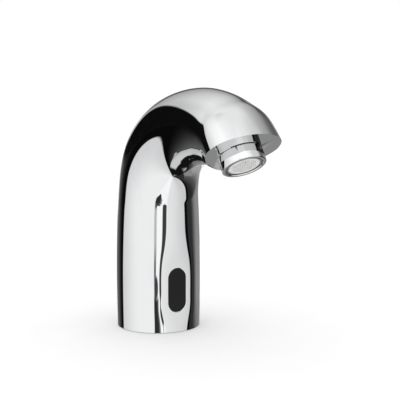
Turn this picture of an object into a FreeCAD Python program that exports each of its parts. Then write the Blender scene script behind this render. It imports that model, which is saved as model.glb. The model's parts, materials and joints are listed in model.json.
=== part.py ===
import FreeCAD, Part
import math
import os

import Sketcher

# Basin tap with a built-in presence sensor. One cast column rises, arches forward and ends in a
# flat oblique face that carries the jet regulator. A dark window low on the front hides the eye.
# Frame: +Z up, origin on the column's axis at the deck, the spout points along -Y. Millimetres.

Vector = FreeCAD.Vector
Placement = FreeCAD.Placement
Rotation = FreeCAD.Rotation
X_AXIS = Vector(1, 0, 0)
Y_AXIS = Vector(0, 1, 0)
Z_AXIS = Vector(0, 0, 1)

SIZES = [
    # the cast form: its centre line, then its half depths and half widths along that line
    ("column_radius", 24.8),
    ("straight_height", 85.0),
    ("rise_pull", 40.0),
    ("mouth_reach", 95.8),
    ("mouth_height", 115.2),
    ("mouth_turn", 148.7),
    ("mouth_pull", 16.4),
    ("depth_belly", 25.2),
    ("depth_shoulder", 24.2),
    ("depth_bend", 24.8),
    ("depth_arch", 24.4),
    ("depth_neck", 22.0),
    ("depth_mouth", 16.9),
    ("width_belly", 25.2),
    ("width_shoulder", 23.85),
    ("width_bend", 21.9),
    ("width_arch", 20.45),
    ("width_neck", 20.2),
    ("width_mouth", 22.0),
    ("under_bend_reach", 24.0),
    ("under_bend_height", 97.0),
    ("under_neck_reach", 50.0),
    ("under_neck_height", 107.5),
    ("crown_fullness", 0.18),
    ("crown_keel", 0.05),
    ("mouth_taper", 0.11),
    ("wall", 3.2),
    # the flattened pad round the window
    ("pad_distance", 23.5),
    ("pad_softness", 34.0),
    ("pad_foot_distance", 24.9),
    ("pad_foot_end", 14.0),
    ("pad_fade_start", 36.0),
    ("pad_fade_end", 76.0),
    ("pad_fade_distance", 27.0),
    # the flat face under the spout
    ("face_reach", 78.0),
    ("face_height", 102.8),
    ("face_angle", 33.1),
    ("face_wall", 4.0),
    ("face_set_back", 15.0),
    # outlet and jet regulator
    ("outlet_reach", 92.9),
    ("regulator_radius", 12.3),
    ("regulator_length", 8.2),
    ("regulator_gap", 0.3),
    ("regulator_edge", 0.7),
    ("lip_height", 1.45),
    ("lip_width", 2.0),
    ("thread_radius", 10.7),
    ("thread_length", 4.4),
    ("thread_clearance", 0.06),
    ("nipple_root_radius", 8.6),
    ("nipple_wall", 2.3),
    ("socket_radius", 6.8),
    ("socket_length", 7.0),
    ("regulator_gasket", 0.9),
    ("insert_radius", 7.8),
    ("insert_flange", 1.3),
    ("nose_radius", 9.3),
    ("nose_recess", 0.5),
    ("screen_radius", 8.7),
    ("screen_thickness", 0.9),
    ("cell_radius", 0.85),
    ("cell_pitch", 2.3),
    ("cell_rings", 3),
    # water tube
    ("tube_radius", 4.0),
    ("tube_wall", 0.8),
    ("tube_x", 12.8),
    ("tube_rise", 92.0),
    ("tube_bend", 16.0),
    ("tube_shoulder_forward", 26.0),
    ("tube_shoulder_height", 5.0),
    ("tube_crown_back", 34.0),
    ("tube_crown_height", 12.0),
    ("tube_end_run", 12.0),
    ("tube_fit", 0.06),
    ("seal_section", 0.6),
    # base
    ("base_thickness", 4.5),
    ("base_fit", 0.5),
    ("lug_circle", 18.0),
    ("lug_radius", 4.2),
    ("lug_height", 9.0),
    ("lug_angle_right", -11.6),
    ("lug_angle_left", 191.6),
    ("lug_angle_rear", 58.0),
    ("screw_radius", 2.0),
    ("screw_head_radius", 3.3),
    ("screw_head_height", 2.4),
    ("screw_length", 12.0),
    ("screw_fit", 0.1),
    ("hex_socket", 1.5),
    ("gasket_radius", 22.75),
    ("gasket_section", 0.9),
    ("stud_x", 11.5),
    ("stud_y", 4.5),
    ("stud_hole_radius", 3.4),
    ("cable_x", -9.5),
    ("cable_y", -7.6),
    ("cable_hole_radius", 2.8),
    ("cable_bore_radius", 1.3),
    ("grommet_lip", 0.9),
    # inlet
    ("valve_x", -4.5),
    ("valve_y", 7.2),
    ("inlet_radius", 7.8),
    ("inlet_recess", 0.4),
    ("inlet_thread_radius", 4.5),
    ("inlet_thread_length", 7.6),
    ("inlet_flange_radius", 9.2),
    ("inlet_flange", 3.0),
    ("inlet_spigot", 5.5),
    ("strainer_radius", 5.2),
    ("strainer_wall", 0.6),
    ("strainer_cup_radius", 3.3),
    ("strainer_depth", 4.0),
    ("part_fit", 0.15),
    # check valve
    ("check_seat_thickness", 2.0),
    ("check_seat_bore", 4.0),
    ("poppet_radius", 5.2),
    ("poppet_thickness", 1.3),
    ("poppet_stem_radius", 1.0),
    ("poppet_lift", 1.2),
    ("check_spring_length", 2.6),
    ("cage_thickness", 1.6),
    ("guide_clearance", 0.05),
    # main valve
    ("valve_radius", 11.0),
    ("inlet_chamber_radius", 8.0),
    ("valve_web_low", 21.5),
    ("valve_web_high", 27.0),
    ("feed_radius", 1.4),
    ("feed_circle", 6.4),
    ("outlet_passage_radius", 2.2),
    ("outlet_height", 24.2),
    ("spigot_radius", 2.5),
    ("spigot_depth", 3.3),
    ("chamber_radius", 8.6),
    ("seat_radius", 3.6),
    ("seat_bore", 2.4),
    ("seat_top", 29.2),
    ("rim_radius", 9.9),
    ("rim_low", 32.0),
    ("rim_thickness", 1.0),
    ("valve_top", 36.0),
    ("disc_radius", 4.8),
    ("disc_thickness", 2.0),
    # bonnet and solenoid
    ("bonnet_radius", 10.8),
    ("bonnet_flange", 2.4),
    ("pilot_chamber_radius", 7.8),
    ("pilot_chamber_height", 2.4),
    ("pilot_bore", 0.7),
    ("pilot_nozzle_radius", 1.6),
    ("pilot_nozzle_height", 0.8),
    ("guide_radius", 4.6),
    ("guide_wall", 0.45),
    ("guide_length", 19.9),
    ("guide_flange_radius", 6.4),
    ("guide_flange", 0.9),
    ("plunger_clearance", 0.06),
    ("plunger_length", 10.6),
    ("plunger_lift", 1.2),
    ("pole_gap", 0.5),
    ("plunger_seal_radius", 2.2),
    ("plunger_seal_height", 1.2),
    ("spring_bore_radius", 2.9),
    ("spring_radius", 2.6),
    ("spring_wire", 0.6),
    ("spring_pocket", 6.4),
    ("pole_stud_radius", 2.0),
    ("pole_stud_length", 6.8),
    ("bobbin_radius", 9.6),
    ("bobbin_wall", 1.0),
    ("bobbin_length", 16.4),
    ("winding_radius", 8.9),
    ("yoke_thickness", 1.3),
    ("yoke_width", 12.0),
    ("yoke_half_span", 11.0),
    ("magnet_radius", 6.8),
    ("magnet_thickness", 2.4),
    ("nut_flats", 7.0),
    ("nut_thickness", 2.8),
    # outlet elbow
    ("elbow_radius", 6.0),
    ("elbow_low", 19.6),
    ("elbow_high", 33.0),
    ("elbow_arm_radius", 3.5),
    ("elbow_socket_low", 26.6),
    # sensor
    ("window_height", 25.0),
    ("window_half_height", 13.1),
    ("window_half_width", 5.9),
    ("window_fit", 0.08),
    ("window_thickness", 1.4),
    ("window_front", 23.0),
    ("boss_face", 18.6),
    ("boss_half_width", 8.8),
    ("boss_front", 22.4),
    ("sensor_gasket", 0.8),
    ("gasket_band", 1.6),
    ("flange_half_width", 7.6),
    ("flange_half_height", 18.3),
    ("flange_thickness", 1.8),
    ("tray_half_width", 7.2),
    ("tray_half_height", 13.4),
    ("tray_depth", 7.4),
    ("tray_wall", 1.2),
    ("lid_thickness", 1.2),
    ("board_thickness", 1.2),
    ("board_gap", 0.4),
    ("eye_spacing", 6.5),
    ("eye_radius", 2.5),
    ("eye_length", 7.4),
    ("eye_rim_radius", 2.9),
    ("eye_rim_height", 1.0),
    ("eye_bore_clearance", 0.2),
    ("sensor_screw_radius", 1.25),
    ("sensor_screw_head_radius", 1.9),
    ("sensor_screw_head_height", 1.5),
    ("sensor_screw_length", 5.6),
    ("sensor_screw_offset", 2.9),
]

doc = FreeCAD.newDocument("sensor_tap")
sheet = doc.addObject("Spreadsheet::Sheet", "Sizes")
for row, (alias, value) in enumerate(SIZES, start=1):
    sheet.set("A%d" % row, alias)
    sheet.set("B%d" % row, str(value))
    sheet.setAlias("B%d" % row, alias)
doc.recompute()

nodes = []


def size(formula):
    """Value of a formula over the sheet's names."""
    result = sheet.evalExpression(in_sheet(formula))
    return float(getattr(result, "Value", result))


def in_sheet(formula):
    """A formula that names the sheet's cells by their bare aliases, as other objects write it."""
    return formula.replace("$", "Sizes.")


def bind(thing, formulas):
    """Tie properties of an object to formulas over the sheet."""
    for prop, formula in formulas.items():
        thing.setExpression(prop, in_sheet(formula))


def node(thing, label):
    """Register a finished sub-part under its own name."""
    thing.Label = label
    nodes.append(thing)
    return thing


def box(name, x, y, z, length, width, height):
    thing = doc.addObject("Part::Box", name)
    bind(thing, {"Length": length, "Width": width, "Height": height,
                 "Placement.Base.x": x, "Placement.Base.y": y, "Placement.Base.z": z})
    return thing


def rod(name, x, y, z, radius, length, axis=Z_AXIS):
    """Cylinder from a point along an axis."""
    thing = doc.addObject("Part::Cylinder", name)
    thing.Placement = Placement(Vector(), Rotation(Z_AXIS, axis))
    bind(thing, {"Radius": radius, "Height": length,
                 "Placement.Base.x": x, "Placement.Base.y": y, "Placement.Base.z": z})
    return thing


def ring(name, x, y, z, radius, section):
    thing = doc.addObject("Part::Torus", name)
    bind(thing, {"Radius1": radius, "Radius2": section,
                 "Placement.Base.x": x, "Placement.Base.y": y, "Placement.Base.z": z})
    return thing


def hexagon(name, x, y, z, across_flats, height):
    thing = doc.addObject("Part::Prism", name)
    thing.Polygon = 6
    bind(thing, {"Circumradius": "(%s) / 2 / cos(30 deg)" % across_flats, "Height": height,
                 "Placement.Base.x": x, "Placement.Base.y": y, "Placement.Base.z": z})
    return thing


def cut(name, base, *tools):
    thing = doc.addObject("Part::Cut", name)
    thing.Base = base
    thing.Tool = tools[0] if len(tools) == 1 else together(name + "_tools", *tools)
    return thing


def fuse(name, *shapes):
    thing = doc.addObject("Part::MultiFuse", name)
    thing.Shapes = list(shapes)
    return thing


def together(name, *shapes):
    thing = doc.addObject("Part::Compound", name)
    thing.Links = list(shapes)
    return thing


def start_body(name, x="0", y="0", z="0"):
    body = doc.addObject("PartDesign::Body", name)
    bind(body, {"Placement.Base.x": x, "Placement.Base.y": y, "Placement.Base.z": z})
    return body


def start_sketch(body, name, plane, offset="0"):
    sketch = body.newObject("Sketcher::SketchObject", name)
    datum = [part for part in body.Origin.OriginFeatures if part.Role == plane][0]
    sketch.AttachmentSupport = [(datum, "")]
    sketch.MapMode = "FlatFace"
    bind(sketch, {"AttachmentOffset.Base.z": offset})
    return sketch


def name_constraint(sketch, kind, name, formula, *where):
    index = sketch.addConstraint(Sketcher.Constraint(kind, *where, size(formula)))
    sketch.renameConstraint(index, name)
    bind(sketch, {"Constraints." + name: formula})


def add_outline(sketch, corners, tag="p"):
    """Closed outline of straight sides whose corners follow formulas."""
    first = sketch.GeometryCount
    points = [Vector(size(across), size(up), 0) for across, up in corners]
    count = len(points)
    for i in range(count):
        sketch.addGeometry(Part.LineSegment(points[i], points[(i + 1) % count]), False)
    for i in range(count):
        follower = first + (i + 1) % count
        sketch.addConstraint(Sketcher.Constraint("Coincident", first + i, 2, follower, 1))
    for i, (across, up) in enumerate(corners):
        name_constraint(sketch, "DistanceX", "%sx%d" % (tag, i), across, -1, 1, first + i, 1)
        name_constraint(sketch, "DistanceY", "%sy%d" % (tag, i), up, -1, 1, first + i, 1)


def add_circle(sketch, across, up, radius, tag="c"):
    index = sketch.addGeometry(Part.Circle(Vector(size(across), size(up), 0), Z_AXIS, size(radius)), False)
    name_constraint(sketch, "Radius", tag + "r", radius, index)
    name_constraint(sketch, "DistanceX", tag + "x", across, -1, 1, index, 3)
    name_constraint(sketch, "DistanceY", tag + "y", up, -1, 1, index, 3)


def add_stadium(sketch, middle, half_width, half_height, tag="s"):
    """Upright slot with round ends, centred on the sketch's vertical axis."""
    high = "(%s) + (%s) - (%s)" % (middle, half_height, half_width)
    low = "(%s) - (%s) + (%s)" % (middle, half_height, half_width)
    reach = size(half_width)
    top = Vector(0, size(high), 0)
    bottom = Vector(0, size(low), 0)
    side = Vector(reach, 0, 0)
    first = sketch.GeometryCount
    sketch.addGeometry(Part.ArcOfCircle(Part.Circle(top, Z_AXIS, reach), 0, math.pi), False)
    sketch.addGeometry(Part.LineSegment(top - side, bottom - side), False)
    sketch.addGeometry(Part.ArcOfCircle(Part.Circle(bottom, Z_AXIS, reach), math.pi, 2 * math.pi), False)
    sketch.addGeometry(Part.LineSegment(bottom + side, top + side), False)
    upper, left, lower, right = range(first, first + 4)
    sketch.addConstraint(Sketcher.Constraint("Tangent", upper, 2, left, 1))
    sketch.addConstraint(Sketcher.Constraint("Tangent", left, 2, lower, 1))
    sketch.addConstraint(Sketcher.Constraint("Tangent", lower, 2, right, 1))
    sketch.addConstraint(Sketcher.Constraint("Tangent", right, 2, upper, 1))
    sketch.addConstraint(Sketcher.Constraint("Vertical", left))
    sketch.addConstraint(Sketcher.Constraint("PointOnObject", upper, 3, -2))
    sketch.addConstraint(Sketcher.Constraint("PointOnObject", lower, 3, -2))
    name_constraint(sketch, "Radius", tag + "r", half_width, upper)
    name_constraint(sketch, "DistanceY", tag + "h", high, -1, 1, upper, 3)
    name_constraint(sketch, "DistanceY", tag + "l", low, -1, 1, lower, 3)


def turn(body, name, corners):
    """Solid of revolution about the body's own Z axis: corners are (radius, height)."""
    sketch = start_sketch(body, name + "_profile", "XZ_Plane")
    add_outline(sketch, corners)
    feature = body.newObject("PartDesign::Revolution", name)
    feature.Profile = sketch
    feature.ReferenceAxis = (sketch, ["V_Axis"])
    feature.Angle = 360
    return feature


def pad(body, name, sketch, length):
    feature = body.newObject("PartDesign::Pad", name)
    feature.Profile = sketch
    bind(feature, {"Length": length})
    return feature


def pocket(body, name, sketch, length, forward=False):
    """Cut against the sketch's normal, or along it where forward is set."""
    feature = body.newObject("PartDesign::Pocket", name)
    feature.Profile = sketch
    feature.Reversed = forward
    bind(feature, {"Length": length})
    return feature


def repeat_round(body, name, feature, sketch, count):
    pattern = body.newObject("PartDesign::PolarPattern", name)
    pattern.Originals = [feature]
    pattern.Axis = (sketch, ["N_Axis"])
    pattern.Angle = 360
    pattern.Occurrences = count
    body.Tip = pattern
    return pattern


# ---------------------------------------------------------------- the cast form

FORM_SHARES = {"belly": 0.15, "shoulder": 0.4, "bend": 0.55, "arch": 0.7, "neck": 0.85, "mouth": 1.0}
SPINE_STEPS = 240
SECTION_POINTS = 36
STATION_SHARES = [0.0, 0.035, 0.07, 0.105, 0.14, 0.175, 0.21, 0.25, 0.29, 0.33, 0.37, 0.42, 0.47, 0.52, 0.57,
                  0.62, 0.67, 0.72, 0.77, 0.82, 0.87, 0.91, 0.94, 0.97, 1.0, 1.06]
BEND_SHARE = 0.37
FAN_SHARE = 0.91
FAN_RUN = (5.0, 0.5)
MOUTH_RUN = 80.0


def spine_curve():
    """Control points (forward, up) of the arch above the straight column."""
    turn_angle = math.radians(size("$mouth_turn"))
    heading = (math.sin(turn_angle), math.cos(turn_angle))
    start = (0.0, size("$straight_height"))
    end = (size("$mouth_reach"), size("$mouth_height"))
    lift = (0.0, start[1] + size("$rise_pull"))
    pull = size("$mouth_pull")
    lead = (end[0] - pull * heading[0], end[1] - pull * heading[1])
    return start, lift, lead, end


def spine_point(controls, t):
    """Point and unit heading at parameter t of the arch; t below 0 runs down the column."""
    a, b, c, d = controls
    if t < 0:
        return (0.0, a[1] * (1 + t)), (0.0, 1.0)
    s = 1 - t
    place = [s**3 * a[k] + 3 * s * s * t * b[k] + 3 * s * t * t * c[k] + t**3 * d[k] for k in (0, 1)]
    rate = [s * s * (b[k] - a[k]) + 2 * s * t * (c[k] - b[k]) + t * t * (d[k] - c[k]) for k in (0, 1)]
    speed = math.hypot(*rate)
    return (place[0], place[1]), (rate[0] / speed, rate[1] / speed)


def spine_samples():
    """Parameters along the centre line and the share of its length that each one has reached."""
    controls = spine_curve()
    steps = [-1.0] + [i / SPINE_STEPS for i in range(SPINE_STEPS + 1)]
    run = [0.0]
    for low, high in zip(steps, steps[1:]):
        run.append(run[-1] + math.dist(spine_point(controls, low)[0], spine_point(controls, high)[0]))
    return controls, steps, [length / run[-1] for length in run]


def across_spine(samples, profile, share):
    """Under point and crown point (forward, up) of the form at a share of the centre line."""
    controls, steps, shares = samples
    centre, heading = spine_point(controls, interpolate(min(share, 1.0), shares, steps))
    beyond = max(share - 1.0, 0.0) * MOUTH_RUN
    centre = (centre[0] + beyond * heading[0], centre[1] + beyond * heading[1])
    depth = profile.value(min(share, 1.0)).y
    reach = (-heading[1] * depth, heading[0] * depth)
    return (centre[0] - reach[0], centre[1] - reach[1]), (centre[0] + reach[0], centre[1] + reach[1])


def stations():
    """Each station's share, middle, crown direction and half sizes; the last ones fan past the face."""
    samples = spine_samples()
    profile = form_profile()
    foot = across_spine(samples, profile, BEND_SHARE)[0]
    hinge = across_spine(samples, profile, FAN_SHARE)[0]
    bend_curve = Part.BezierCurve()
    bend_curve.setPoles([Vector(*foot, 0), Vector(size("$under_bend_reach"), size("$under_bend_height"), 0),
                         Vector(size("$under_neck_reach"), size("$under_neck_height"), 0), Vector(*hinge, 0)])
    listed = []
    for share in STATION_SHARES:
        under, crown = across_spine(samples, profile, share)
        if BEND_SHARE < share < FAN_SHARE:
            under = tuple(bend_curve.value((share - BEND_SHARE) / (FAN_SHARE - BEND_SHARE)))[:2]
        elif share >= FAN_SHARE:
            part = (share - FAN_SHARE) / (1.0 - FAN_SHARE)
            under = (hinge[0] + FAN_RUN[0] * part, hinge[1] + FAN_RUN[1] * part)
        span = math.dist(under, crown)
        middle = ((under[0] + crown[0]) / 2, (under[1] + crown[1]) / 2)
        crownward = ((crown[0] - under[0]) / span, (crown[1] - under[1]) / span)
        listed.append((share, middle, crownward, span / 2, profile.value(min(share, 1.0)).z))
    return listed


def interpolate(x, xs, ys):
    for low in range(len(xs) - 1):
        if x <= xs[low + 1]:
            break
    part = (x - xs[low]) / (xs[low + 1] - xs[low])
    return ys[low] + part * (ys[low + 1] - ys[low])


def form_profile():
    """Smooth curve of (share, half depth, half width) through the foot and the named places."""
    shares = [0.0] + list(FORM_SHARES.values())
    radius = size("$column_radius")
    points = [Vector(0, radius, radius)]
    for place, share in FORM_SHARES.items():
        points.append(Vector(share, size("$depth_" + place), size("$width_" + place)))
    curve = Part.BSplineCurve()
    curve.interpolate(Points=points, Parameters=shares)
    return curve


def ease(x):
    x = min(max(x, 0.0), 1.0)
    return x * x * (3 - 2 * x)


def pad_limit(height):
    """Distance of the flattened front from the column's axis: least round the window."""
    near, foot, far = size("$pad_distance"), size("$pad_foot_distance"), size("$pad_fade_distance")
    low = 1 - ease(height / size("$pad_foot_end"))
    high = ease((height - size("$pad_fade_start")) / (size("$pad_fade_end") - size("$pad_fade_start")))
    return near + (foot - near) * low + (far - near) * high


def section(share, middle, crownward, half_depth, half_width, inset):
    """Closed smooth curve of one cross-section, drawn inwards by the wall for the hollow."""
    depth = half_depth - inset
    width = half_width - inset
    keel = size("$crown_keel") * min(max((share - 0.55) / 0.3, 0.0), 1.0) ** 2
    fullness = size("$crown_fullness") * share**2
    taper = size("$mouth_taper") * min(share, 1.0) ** 5
    softness = size("$pad_softness")
    points = []
    for i in range(SECTION_POINTS):
        angle = 2 * math.pi * i / SECTION_POINTS
        outward = max(math.cos(angle), 0.0)
        inward = max(-math.cos(angle), 0.0)
        across = width * math.sin(angle) * (1 + fullness * outward**2 - taper * inward)
        outer = depth * math.cos(angle) * (1 + keel * outward**10)
        reach = math.hypot(across, outer)
        forward = -outer / reach
        if forward > 0.3 and not inset and abs(middle[0]) < 0.01:
            limit = pad_limit(middle[1]) / forward
            eased = (reach**-softness + limit**-softness) ** (-1 / softness)
            across *= eased / reach
            outer *= eased / reach
        points.append(Vector(across, -middle[0] - outer * crownward[0], middle[1] + outer * crownward[1]))
    curve = Part.BSplineCurve()
    curve.interpolate(Points=points, PeriodicFlag=True,
                      Parameters=[i / SECTION_POINTS for i in range(SECTION_POINTS + 1)])
    return curve


def cast_form(name, inset):
    """Solid under one smooth surface that runs through every cross-section, closed at both ends."""
    curves = [section(*station, inset) for station in stations()]
    lines = []
    for poles in zip(*(curve.getPoles() for curve in curves)):
        line = Part.BSplineCurve()
        line.interpolate(Points=list(poles), Parameters=STATION_SHARES)
        lines.append(line)
    round_, along = curves[0], lines[0]
    surface = Part.BSplineSurface()
    surface.buildFromPolesMultsKnots([line.getPoles() for line in lines], round_.getMultiplicities(),
                                     along.getMultiplicities(), round_.getKnots(), along.getKnots(),
                                     True, False, round_.Degree, along.Degree)
    caps = [Part.Face(Part.Wire([surface.vIso(share).toShape()]))
            for share in (STATION_SHARES[0], STATION_SHARES[-1])]
    shell = Part.makeShell([surface.toShape()] + caps)
    shell.sewShape()
    solid = Part.Solid(shell)
    if solid.Volume < 0:
        solid.reverse()
    thing = doc.addObject("Part::Feature", name)
    thing.Shape = solid
    return thing


FACE_COS = "cos($face_angle * 1 deg)"
FACE_SIN = "sin($face_angle * 1 deg)"
OUTLET_Y = "-$outlet_reach"
OUTLET_Z = "$face_height + ($outlet_reach - $face_reach) * tan($face_angle * 1 deg)"


def beyond_face(name, depth):
    """Block that holds everything past the oblique face, or past a plane set back from it."""
    thing = doc.addObject("Part::Box", name)
    thing.Placement = Placement(Vector(), Rotation(X_AXIS, 1))
    bind(thing, {
        "Length": "4 * $column_radius",
        "Width": "3 * $column_radius",
        "Height": "$column_radius",
        "Placement.Rotation.Angle": "180 - $face_angle",
        "Placement.Base.x": "-2 * $column_radius",
        "Placement.Base.y": "-$face_reach + $face_set_back * %s + (%s) * %s" % (FACE_COS, depth, FACE_SIN),
        "Placement.Base.z": "$face_height - $face_set_back * %s + (%s) * %s" % (FACE_SIN, depth, FACE_COS)})
    return thing


def outlet_body(name):
    """Body whose origin is the outlet's centre on the face, with Z pointing out of the spout."""
    body = doc.addObject("PartDesign::Body", name)
    body.Placement = Placement(Vector(), Rotation(X_AXIS, 1))
    bind(body, {"Placement.Rotation.Angle": "180 - $face_angle",
                "Placement.Base.y": OUTLET_Y, "Placement.Base.z": OUTLET_Z})
    return body


def lug_place(side):
    angle = "$lug_angle_%s * 1 deg" % side
    return "$lug_circle * cos(%s)" % angle, "$lug_circle * sin(%s)" % angle


LUG_SIDES = ("right", "left", "rear")
BASE_RADIUS = "$column_radius - $wall - $base_fit"


def spout_body():
    """Cast shell: arched loft, hollow inside, with the sensor boss, the screw lugs and the end wall."""
    outside = cut("spout_outside", cast_form("spout_form", 0.0), beyond_face("past_face", "0"))
    hollow = cut("spout_hollow", cast_form("hollow_form", size("$wall")),
                 beyond_face("past_end_wall", "$face_wall"))
    shell = cut("spout_shell", outside, hollow)
    boss = box("window_boss", "-$boss_half_width", "-$boss_front", "$base_thickness",
               "2 * $boss_half_width", "$boss_front - $boss_face",
               "$window_height + $flange_half_height + 1 - $base_thickness")
    lugs = []
    holes = []
    for side in LUG_SIDES:
        x, y = lug_place(side)
        lugs.append(rod("lug_" + side, x, y, "$base_thickness", "$lug_radius", "$lug_height"))
        holes.append(rod("lug_hole_" + side, x, y, "$base_thickness", "$screw_radius + $screw_fit",
                         "$screw_length - $base_thickness + 1"))
    solid = fuse("spout_solid", shell, boss, *lugs)

    opening_body = start_body("window_opening_form")
    sketch = start_sketch(opening_body, "window_opening_sketch", "XZ_Plane", "$boss_face - 1")
    add_stadium(sketch, "$window_height", "$window_half_width", "$window_half_height")
    pad(opening_body, "window_opening", sketch, "$column_radius - $boss_face + 2")
    for end, sign in (("upper", "+"), ("lower", "-")):
        height = "$window_height %s ($window_half_height + $sensor_screw_offset)" % sign
        holes.append(rod("sensor_screw_hole_" + end, "0", "-$boss_face + 0.5", height,
                         "$sensor_screw_radius + $screw_fit / 2", "4.2", -Y_AXIS))
    outlet_hole = outlet_body("outlet_hole_body")
    turn(outlet_hole, "outlet_hole", [("0", "-$face_wall - 1"), ("$nipple_root_radius", "-$face_wall - 1"),
                                      ("$nipple_root_radius", "1"), ("0", "1")])
    groove_body = start_body("foot_groove_body")
    turn(groove_body, "foot_groove", [("$gasket_radius - $gasket_section / 2 - 0.05", "-1"),
                                      ("$gasket_radius + $gasket_section / 2 + 0.05", "-1"),
                                      ("$gasket_radius + $gasket_section / 2 + 0.05", "$gasket_section"),
                                      ("$gasket_radius - $gasket_section / 2 - 0.05", "$gasket_section")])
    node(cut("spout_casting", solid, opening_body, outlet_hole, groove_body, *holes), "spout_body")


# ---------------------------------------------------------------- outlet and jet regulator

def outlet_nipple():
    body = outlet_body("nipple_body")
    bore = "$thread_radius - $nipple_wall"
    end = "-$face_wall - $socket_length"
    turn(body, "nipple", [
        ("$tube_radius + $tube_fit", end),
        ("$socket_radius", end),
        ("$socket_radius", "-$face_wall"),
        ("$nipple_root_radius - $part_fit / 3", "-$face_wall"),
        ("$nipple_root_radius - $part_fit / 3", "0"),
        ("$thread_radius", "0"),
        ("$thread_radius", "$thread_length"),
        (bore, "$thread_length"),
        (bore, "-1"),
        ("$tube_radius - $tube_wall", "-2"),
        ("$tube_radius - $tube_wall", "-$face_wall - 1"),
        ("$tube_radius + $tube_fit", "-$face_wall - 1"),
    ])
    groove_profile = start_sketch(body, "nipple_groove_profile", "XZ_Plane")
    middle = "-$face_wall - $socket_length / 2 - 0.5"
    add_outline(groove_profile, [
        ("$tube_radius", "%s - $seal_section" % middle),
        ("$tube_radius + 2 * $seal_section", "%s - $seal_section" % middle),
        ("$tube_radius + 2 * $seal_section", "%s + $seal_section" % middle),
        ("$tube_radius", "%s + $seal_section" % middle)])
    groove = body.newObject("PartDesign::Groove", "nipple_groove")
    groove.Profile = groove_profile
    groove.ReferenceAxis = (groove_profile, ["V_Axis"])
    groove.Angle = 360
    node(body, "outlet_nipple")


def aerator_housing():
    body = outlet_body("housing_body")
    bore = "$thread_radius + $thread_clearance"
    lip_bore = "$regulator_radius - $lip_width"
    turn(body, "housing", [
        (bore, "$regulator_gap"),
        ("$regulator_radius - 0.3", "$regulator_gap"),
        ("$regulator_radius", "$regulator_gap + 0.3"),
        ("$regulator_radius", "$regulator_length - $regulator_edge"),
        ("$regulator_radius - $regulator_edge * 0.3", "$regulator_length - $regulator_edge * 0.3"),
        ("$regulator_radius - $regulator_edge", "$regulator_length"),
        (lip_bore + " + 0.2", "$regulator_length"),
        (lip_bore, "$regulator_length - 0.2"),
        (lip_bore, "$regulator_length - $lip_height"),
        (bore, "$regulator_length - $lip_height"),
    ])
    node(body, "aerator_housing")


INSERT_FLANGE_LOW = "$regulator_length - $lip_height - 0.05 - $insert_flange"
INSERT_FLANGE_HIGH = "$regulator_length - $lip_height - 0.05"
NOSE_END = "$regulator_length - $nose_recess"


def aerator_cartridge():
    body = outlet_body("cartridge_body")
    flange = "$thread_radius - 0.1"
    seat = NOSE_END + " - $screen_thickness"
    turn(body, "cartridge", [
        ("$insert_radius - 1.2", "0"),
        ("$insert_radius - 0.6", "0"),
        ("$insert_radius", "0.8"),
        ("$insert_radius", INSERT_FLANGE_LOW),
        (flange, INSERT_FLANGE_LOW),
        (flange, INSERT_FLANGE_HIGH),
        ("$nose_radius", INSERT_FLANGE_HIGH),
        ("$nose_radius", NOSE_END),
        ("$screen_radius + 0.05", NOSE_END),
        ("$screen_radius + 0.05", seat),
        ("$insert_radius - 1.2", seat),
    ])
    node(body, "aerator_cartridge")


def aerator_gasket():
    body = outlet_body("regulator_gasket_body")
    low = "(%s) - $regulator_gasket" % INSERT_FLANGE_LOW
    turn(body, "regulator_seal", [("$insert_radius + 0.1", low), ("$thread_radius - 0.1", low),
                                  ("$thread_radius - 0.1", INSERT_FLANGE_LOW),
                                  ("$insert_radius + 0.1", INSERT_FLANGE_LOW)])
    node(body, "aerator_gasket")


def aerator_screen():
    """Jet former: a disc pierced by rings of six-sided cells."""
    body = outlet_body("screen_body")
    low = NOSE_END + " - $screen_thickness"
    turn(body, "screen_disc", [("0", low), ("$screen_radius", low), ("$screen_radius", NOSE_END),
                               ("0", NOSE_END)])
    sketch = start_sketch(body, "screen_cells_sketch", "XY_Plane", NOSE_END)
    pitch = size("$cell_pitch")
    radius = size("$cell_radius")
    rings = int(size("$cell_rings"))
    for row in range(-rings, rings + 1):
        for column in range(-rings, rings + 1):
            if abs(row + column) > rings:
                continue
            middle = Vector(pitch * (column + row / 2), pitch * row * math.sqrt(3) / 2, 0)
            corners = [middle + Vector(radius * math.cos(a), radius * math.sin(a), 0)
                       for a in (math.pi * (k / 3 + 1 / 6) for k in range(6))]
            for k in range(6):
                sketch.addGeometry(Part.LineSegment(corners[k], corners[(k + 1) % 6]), False)
    pocket(body, "screen_cells", sketch, "$screen_thickness + 0.2")
    node(body, "aerator_screen")


# ---------------------------------------------------------------- water tube

def rounded_path(points, radii):
    """Straight runs joined by tangent arcs of the given radii."""
    edges = []
    start = points[0]
    for before, corner, after, radius in zip(points, points[1:], points[2:], radii):
        back = (before - corner).normalize()
        ahead = (after - corner).normalize()
        half = back.getAngle(ahead) / 2
        trim = radius / math.tan(half)
        first = corner + back * trim
        last = corner + ahead * trim
        bisector = (back + ahead).normalize()
        middle = corner + bisector * (radius / math.sin(half) - radius)
        edges.append(Part.LineSegment(start, first).toShape())
        edges.append(Part.Arc(first, middle, last).toShape())
        start = last
    edges.append(Part.LineSegment(start, points[-1]).toShape())
    return Part.Wire(edges)


def pipe_along(path, radius):
    start = path.Edges[0].firstVertex().Point
    heading = path.Edges[0].tangentAt(path.Edges[0].FirstParameter)
    profile = Part.Wire([Part.makeCircle(radius, start, heading)])
    return path.makePipeShell([profile], True, False)


def outlet_point(depth):
    """Point on the outlet's axis, this deep inside the face."""
    angle = math.radians(size("$face_angle"))
    return Vector(0, size(OUTLET_Y) + depth * math.sin(angle), size(OUTLET_Z) + depth * math.cos(angle))


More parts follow.
